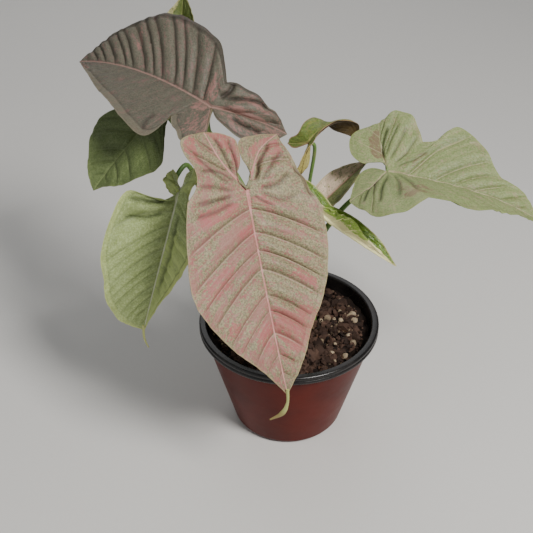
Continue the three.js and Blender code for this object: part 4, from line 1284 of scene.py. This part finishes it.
def pot_piece():
    """The pot turned from its profile: red outside, black on the rim and inside, with drain holes."""
    neck = POT_HEIGHT - POT["rim_drop"] - 1
    groove = POT_HEIGHT - POT["rim_drop"] / 2
    edge = POT["rim_round"]
    cut = POT["rim_groove"]
    outside = [
        (0, 0.6),
        (POT["foot"] - POT["foot_round"] * 1.8, 0.6),
        (POT["foot"] - POT["foot_round"] * 1.5, 0),
        (POT["foot"] - POT["foot_round"] * 0.8, 0),
        (POT["foot"], POT["foot_round"]),
        (POT["neck"] - 0.5, neck - 3),
        (POT["neck"], neck),
    ]
    rim = [
        (POT["neck"], neck),
        (RIM_RADIUS - edge, POT_HEIGHT - POT["rim_drop"]),
        (RIM_RADIUS, POT_HEIGHT - POT["rim_drop"] + edge),
        (RIM_RADIUS, groove - cut),
        (RIM_RADIUS - cut, groove),
        (RIM_RADIUS, groove + cut),
        (RIM_RADIUS, POT_HEIGHT - edge),
        (RIM_RADIUS - edge, POT_HEIGHT),
        (POT["mouth"] + edge, POT_HEIGHT),
        (POT["mouth"], POT_HEIGHT - edge),
        (POT["neck"] - POT["wall"], neck),
        (POT["foot"] - POT["wall"], POT["floor"] + POT["foot_round"]),
        (POT["foot"] - POT["wall"] - POT["foot_round"], POT["floor"]),
        (0, POT["floor"]),
    ]
    lower = soften(outside, radius=0.9)
    upper = soften(rim, radius=0.7)[1:]
    profile = np.vstack([lower, upper])
    sides = POT["sides"]
    turn = around_once(sides)
    ring = profile[1:-1]
    points = np.stack([ring[:, :1] * np.cos(turn), ring[:, :1] * np.sin(turn), ring[:, 1:] + turn * 0], -1)
    points = np.vstack([points.reshape(-1, 3), [(0, 0, profile[0, 1]), (0, 0, profile[-1, 1])]])
    # One side's faces: the foot's middle, the floor's middle, then up the outside and down the inside.
    red = len(lower) - 2
    paints = [0, 1] + [0] * red + [1] * (len(ring) - 1 - red)
    looks = [pot_body_material(), pot_rim_material()]
    pot = make_piece("pot_shell", points, turned_faces(len(ring), sides), looks, ["pot"],
                     crease=40)
    pot.data.polygons.foreach_set("material_index", paints * sides)
    drill_drains(pot)


def drill_drains(pot):
    """Round holes through the pot's floor."""
    for i in range(POT["drains"]):
        angle = (i + 0.5) / POT["drains"] * 2 * math.pi
        spot = Vector((math.cos(angle), math.sin(angle), 0)) * POT["drain_circle"] * MM
        size = {"vertices": 40, "radius": POT["drain_radius"] * MM, "depth": 20 * MM}
        bpy.ops.mesh.primitive_cylinder_add(**size, location=spot)
        tool = bpy.context.object
        cutter = pot.modifiers.new("drain", "BOOLEAN")
        cutter.object = tool
        cutter.solver = "EXACT"
        with bpy.context.temp_override(object=pot, active_object=pot):
            bpy.ops.object.modifier_apply(modifier=cutter.name)
        bpy.data.objects.remove(tool)


# ---------- soil ----------
def potting_bed(material):
    """The lumpy bed of fine soil, down to the pot's floor."""
    low, high = in_mm(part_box("soil")[0]), in_mm(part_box("soil")[1])
    edge = high[0]
    rows, sides = 90, 240
    radius = np.linspace(0, edge, rows + 1)[1:]
    turn = around_once(sides)
    x = radius[:, None] * np.cos(turn)
    y = radius[:, None] * np.sin(turn)
    lumps = undulate(x / 20, y / 20, 5) + 0.7 * undulate(x / 6, y / 6, 6)
    lumps = lumps + 0.45 * undulate(x / 2.4, y / 2.4, 7)
    z = SOIL_LEVEL - 0.6 + lumps * 0.9
    bed = np.stack([x, y, z], -1).reshape(-1, 3)
    narrow = POT["foot"] - POT["wall"] - POT["foot_round"]
    under = [(edge, SOIL_LEVEL - 4), (narrow + 2, low[2] + 4), (narrow, low[2])]
    skirt = [np.stack([r * np.cos(turn), r * np.sin(turn), turn * 0 + h], -1) for r, h in under]
    points = np.vstack([bed, *skirt, [(0, 0, SOIL_LEVEL), (0, 0, low[2])]])
    faces = turned_faces(rows + len(under), sides, inward=True)
    tone_and_half_light = np.clip(0.35 + 0.3 * undulate(points[:, 0] / 3, points[:, 1] / 3, 8), 0, 1)
    make_piece("soil_bed", points, faces, [material], ["soil"], {"tone_and_half_light": tone_and_half_light}, crease=80)


def crumb_ball():
    """A ball of 42 points, to be knocked out of shape."""
    bpy.ops.mesh.primitive_ico_sphere_add(subdivisions=2, radius=1)
    ball = bpy.context.object
    points = np.array([v.co for v in ball.data.vertices])
    faces = [list(p.vertices) for p in ball.data.polygons]
    bpy.data.objects.remove(ball)
    return points, faces


def crumbs(name, material, *, count, sizes, stretch, seed, proud, tones_and_half_light, rough=0.28, lean=0.0):
    """Loose pieces scattered on the bed, each of its own size, shape and tone.

    Where lean isn't 0, about half of the places are left out, and more of them are kept towards +X.
    """
    draw = seeded(seed)
    ball, ball_faces = crumb_ball()
    reach = in_mm(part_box("soil")[1])[0] - 1.5
    feet = [np.array(plan["foot"]) for plan in STEMS.values()]
    points, faces, tone_and_half_light = [], [], []
    while len(points) < count:
        radius = reach * math.sqrt(draw.uniform(0, 1))
        turn = draw.uniform(0, 2 * math.pi)
        spot = np.array([radius * math.cos(turn), radius * math.sin(turn)])
        size = draw.uniform(*sizes) / 2
        shape = ball * (1 + rough * draw.normal(size=(len(ball), 1)).clip(-1.5, 1.5))
        shape = shape * draw.uniform(*stretch, size=3) * size
        axis = Vector(draw.normal(size=3)).normalized()
        spin = np.array(Matrix.Rotation(draw.uniform(0, 2 * math.pi), 3, axis))
        own = draw.uniform(*tones_and_half_light)
        clear = min(np.linalg.norm(spot - foot) for foot in feet)
        if radius + size * 1.6 > reach or clear < STEM["radius"] + size * 0.8:
            continue
        chance = 0.5 + lean * spot[0] / reach if lean else 1
        if draw.uniform(0, 1) > chance:
            continue
        offset = len(points) * len(ball)
        middle = np.array([*spot, SOIL_LEVEL + proud * size + draw.uniform(-0.4, 0.6)])
        points.append(shape @ spin.T + middle)
        faces += [[c + offset for c in face] for face in ball_faces]
        tone_and_half_light.append(np.full(len(ball), own))
    tones_at = {"tone_and_half_light": np.concatenate(tone_and_half_light)}
    make_piece(name, np.vstack(points), faces, [material], [], tones_at, crease=35)


def fibres(material):
    """Short coir fibres lying on the bed."""
    draw = seeded(31)
    reach = in_mm(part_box("soil")[1])[0] - 8
    bundle = Bundle()
    for _ in range(90):
        radius = reach * math.sqrt(draw.uniform(0, 1))
        turn = draw.uniform(0, 2 * math.pi)
        heading = draw.uniform(0, 2 * math.pi)
        length = draw.uniform(4, 11)
        level = SOIL_LEVEL + draw.uniform(0.8, 2.0)
        start = np.array([radius * math.cos(turn), radius * math.sin(turn), level])
        ahead = np.array([math.cos(heading), math.sin(heading), 0])
        side = np.array([-ahead[1], ahead[0], 0]) * draw.uniform(-0.25, 0.25)
        bends = [start + (ahead * t + side * math.sin(3 * t)) * length * 0.7 for t in (0, 0.35, 0.7, 1)]
        line, _ = route(bends, spacing=1.2)
        radii = np.full(len(line), draw.uniform(0.12, 0.25))
        bundle.add(tube(line, radii, sides=5))
    bundle.make("soil_fibres", material, [])


def soil():
    bed = crumb_material("soil_fine", srgb(18, 11, 8), srgb(44, 30, 21), roughness=0.95)
    bark = crumb_material("bark_chips", srgb(20, 12, 9), srgb(94, 70, 58), roughness=0.8, pits=900.0)
    stone = crumb_material("pumice", srgb(96, 78, 60), srgb(172, 154, 128), roughness=0.9, pits=1800.0)
    coir = crumb_material("coir", srgb(96, 66, 42), srgb(96, 66, 42), roughness=0.85, tone_and_half_light="dry")
    potting_bed(bed)
    crumbs(
        "soil_bark", bark, count=620, sizes=(2.4, 7.5), stretch=(0.4, 1.3), seed=21, proud=0.15,
        tones_and_half_light=(0, 0.8),
    )
    crumbs(
        "soil_crumbs", bark, count=900, sizes=(1.0, 2.4), stretch=(0.6, 1.1), seed=22, proud=0.3,
        tones_and_half_light=(0.1, 1.0),
    )
    crumbs(
        "soil_grit", stone, count=130, sizes=(1.2, 2.6), stretch=(0.7, 1.1), seed=23, proud=0.35,
        tones_and_half_light=(0, 1), rough=0.12,
    )
    crumbs(
        "soil_pumice", stone, count=44, sizes=(2.6, 5.4), stretch=(0.7, 1.1), seed=24, proud=0.4,
        tones_and_half_light=(0.3, 1), rough=0.1, lean=0.5,
    )
    fibres(coir)


# ---------- floor, camera and light ----------
def backdrop():
    """The plain floor that the pot stands on, far wider than the plant."""
    floor_colour = srgb(214, 212, 208)
    paint = Paint("floor_paper")
    fine = paint.noise(paint.place(), 300.0, 2.0)
    colour = paint.shade(floor_colour, ranged(paint, fine, 0.985, 1.015))
    material = paint.finish(colour=colour, roughness=0.85, specular=0.2)
    size = 6.0
    mesh = bpy.data.meshes.new("floor")
    corners = [(-size, -size, 0), (size, -size, 0), (size, size, 0), (-size, size, 0)]
    mesh.from_pydata(corners, [], [[0, 1, 2, 3]])
    mesh.materials.append(material)
    floor = bpy.data.objects.new("floor", mesh)
    link(floor)


def camera():
    """The photo's view, from a least squares fit to the pot's rim and base in the photo."""
    data = bpy.data.cameras.new("camera")
    data.lens = 60.8
    data.sensor_width = 36
    made = bpy.data.objects.new("camera", data)
    made.location = (-0.015, -0.469, 0.460)
    made.rotation_euler = (math.radians(54.3), 0, 0)
    link(made)
    bpy.context.scene.camera = made


def area_light(name, place, target, size, power, colour=(1, 1, 1)):
    data = bpy.data.lights.new(name, "AREA")
    data.size = size
    data.energy = power
    data.color = colour
    lamp = bpy.data.objects.new(name, data)
    lamp.location = place
    lamp.rotation_euler = (Vector(target) - Vector(place)).to_track_quat("-Z", "Y").to_euler()
    link(lamp)


def studio():
    middle = (0, 0, 0.15)
    area_light("key", (0.5, -0.62, 1.0), middle, size=0.32, power=17.5, colour=(1, 0.985, 0.96))
    area_light("fill", (-1.0, -0.5, 0.7), middle, size=1.2, power=2.4, colour=(0.97, 0.98, 1))
    area_light("back", (-0.2, 1.0, 0.9), middle, size=1.0, power=4)
    world = bpy.data.worlds.new("studio")
    world.use_nodes = True
    world.node_tree.nodes["Background"].inputs["Color"].default_value = (0.9, 0.92, 0.95, 1)
    world.node_tree.nodes["Background"].inputs["Strength"].default_value = 0.19
    bpy.context.scene.world = world


# ---------- everything ----------
backdrop()
camera()
studio()
pot_piece()
soil()
seats = {name: blade(name) for name in LEAVES}
drip_tips(seats)
stalks = stem_material()
for stem_name in STEMS:
    stem(stem_name, seats, stalks)
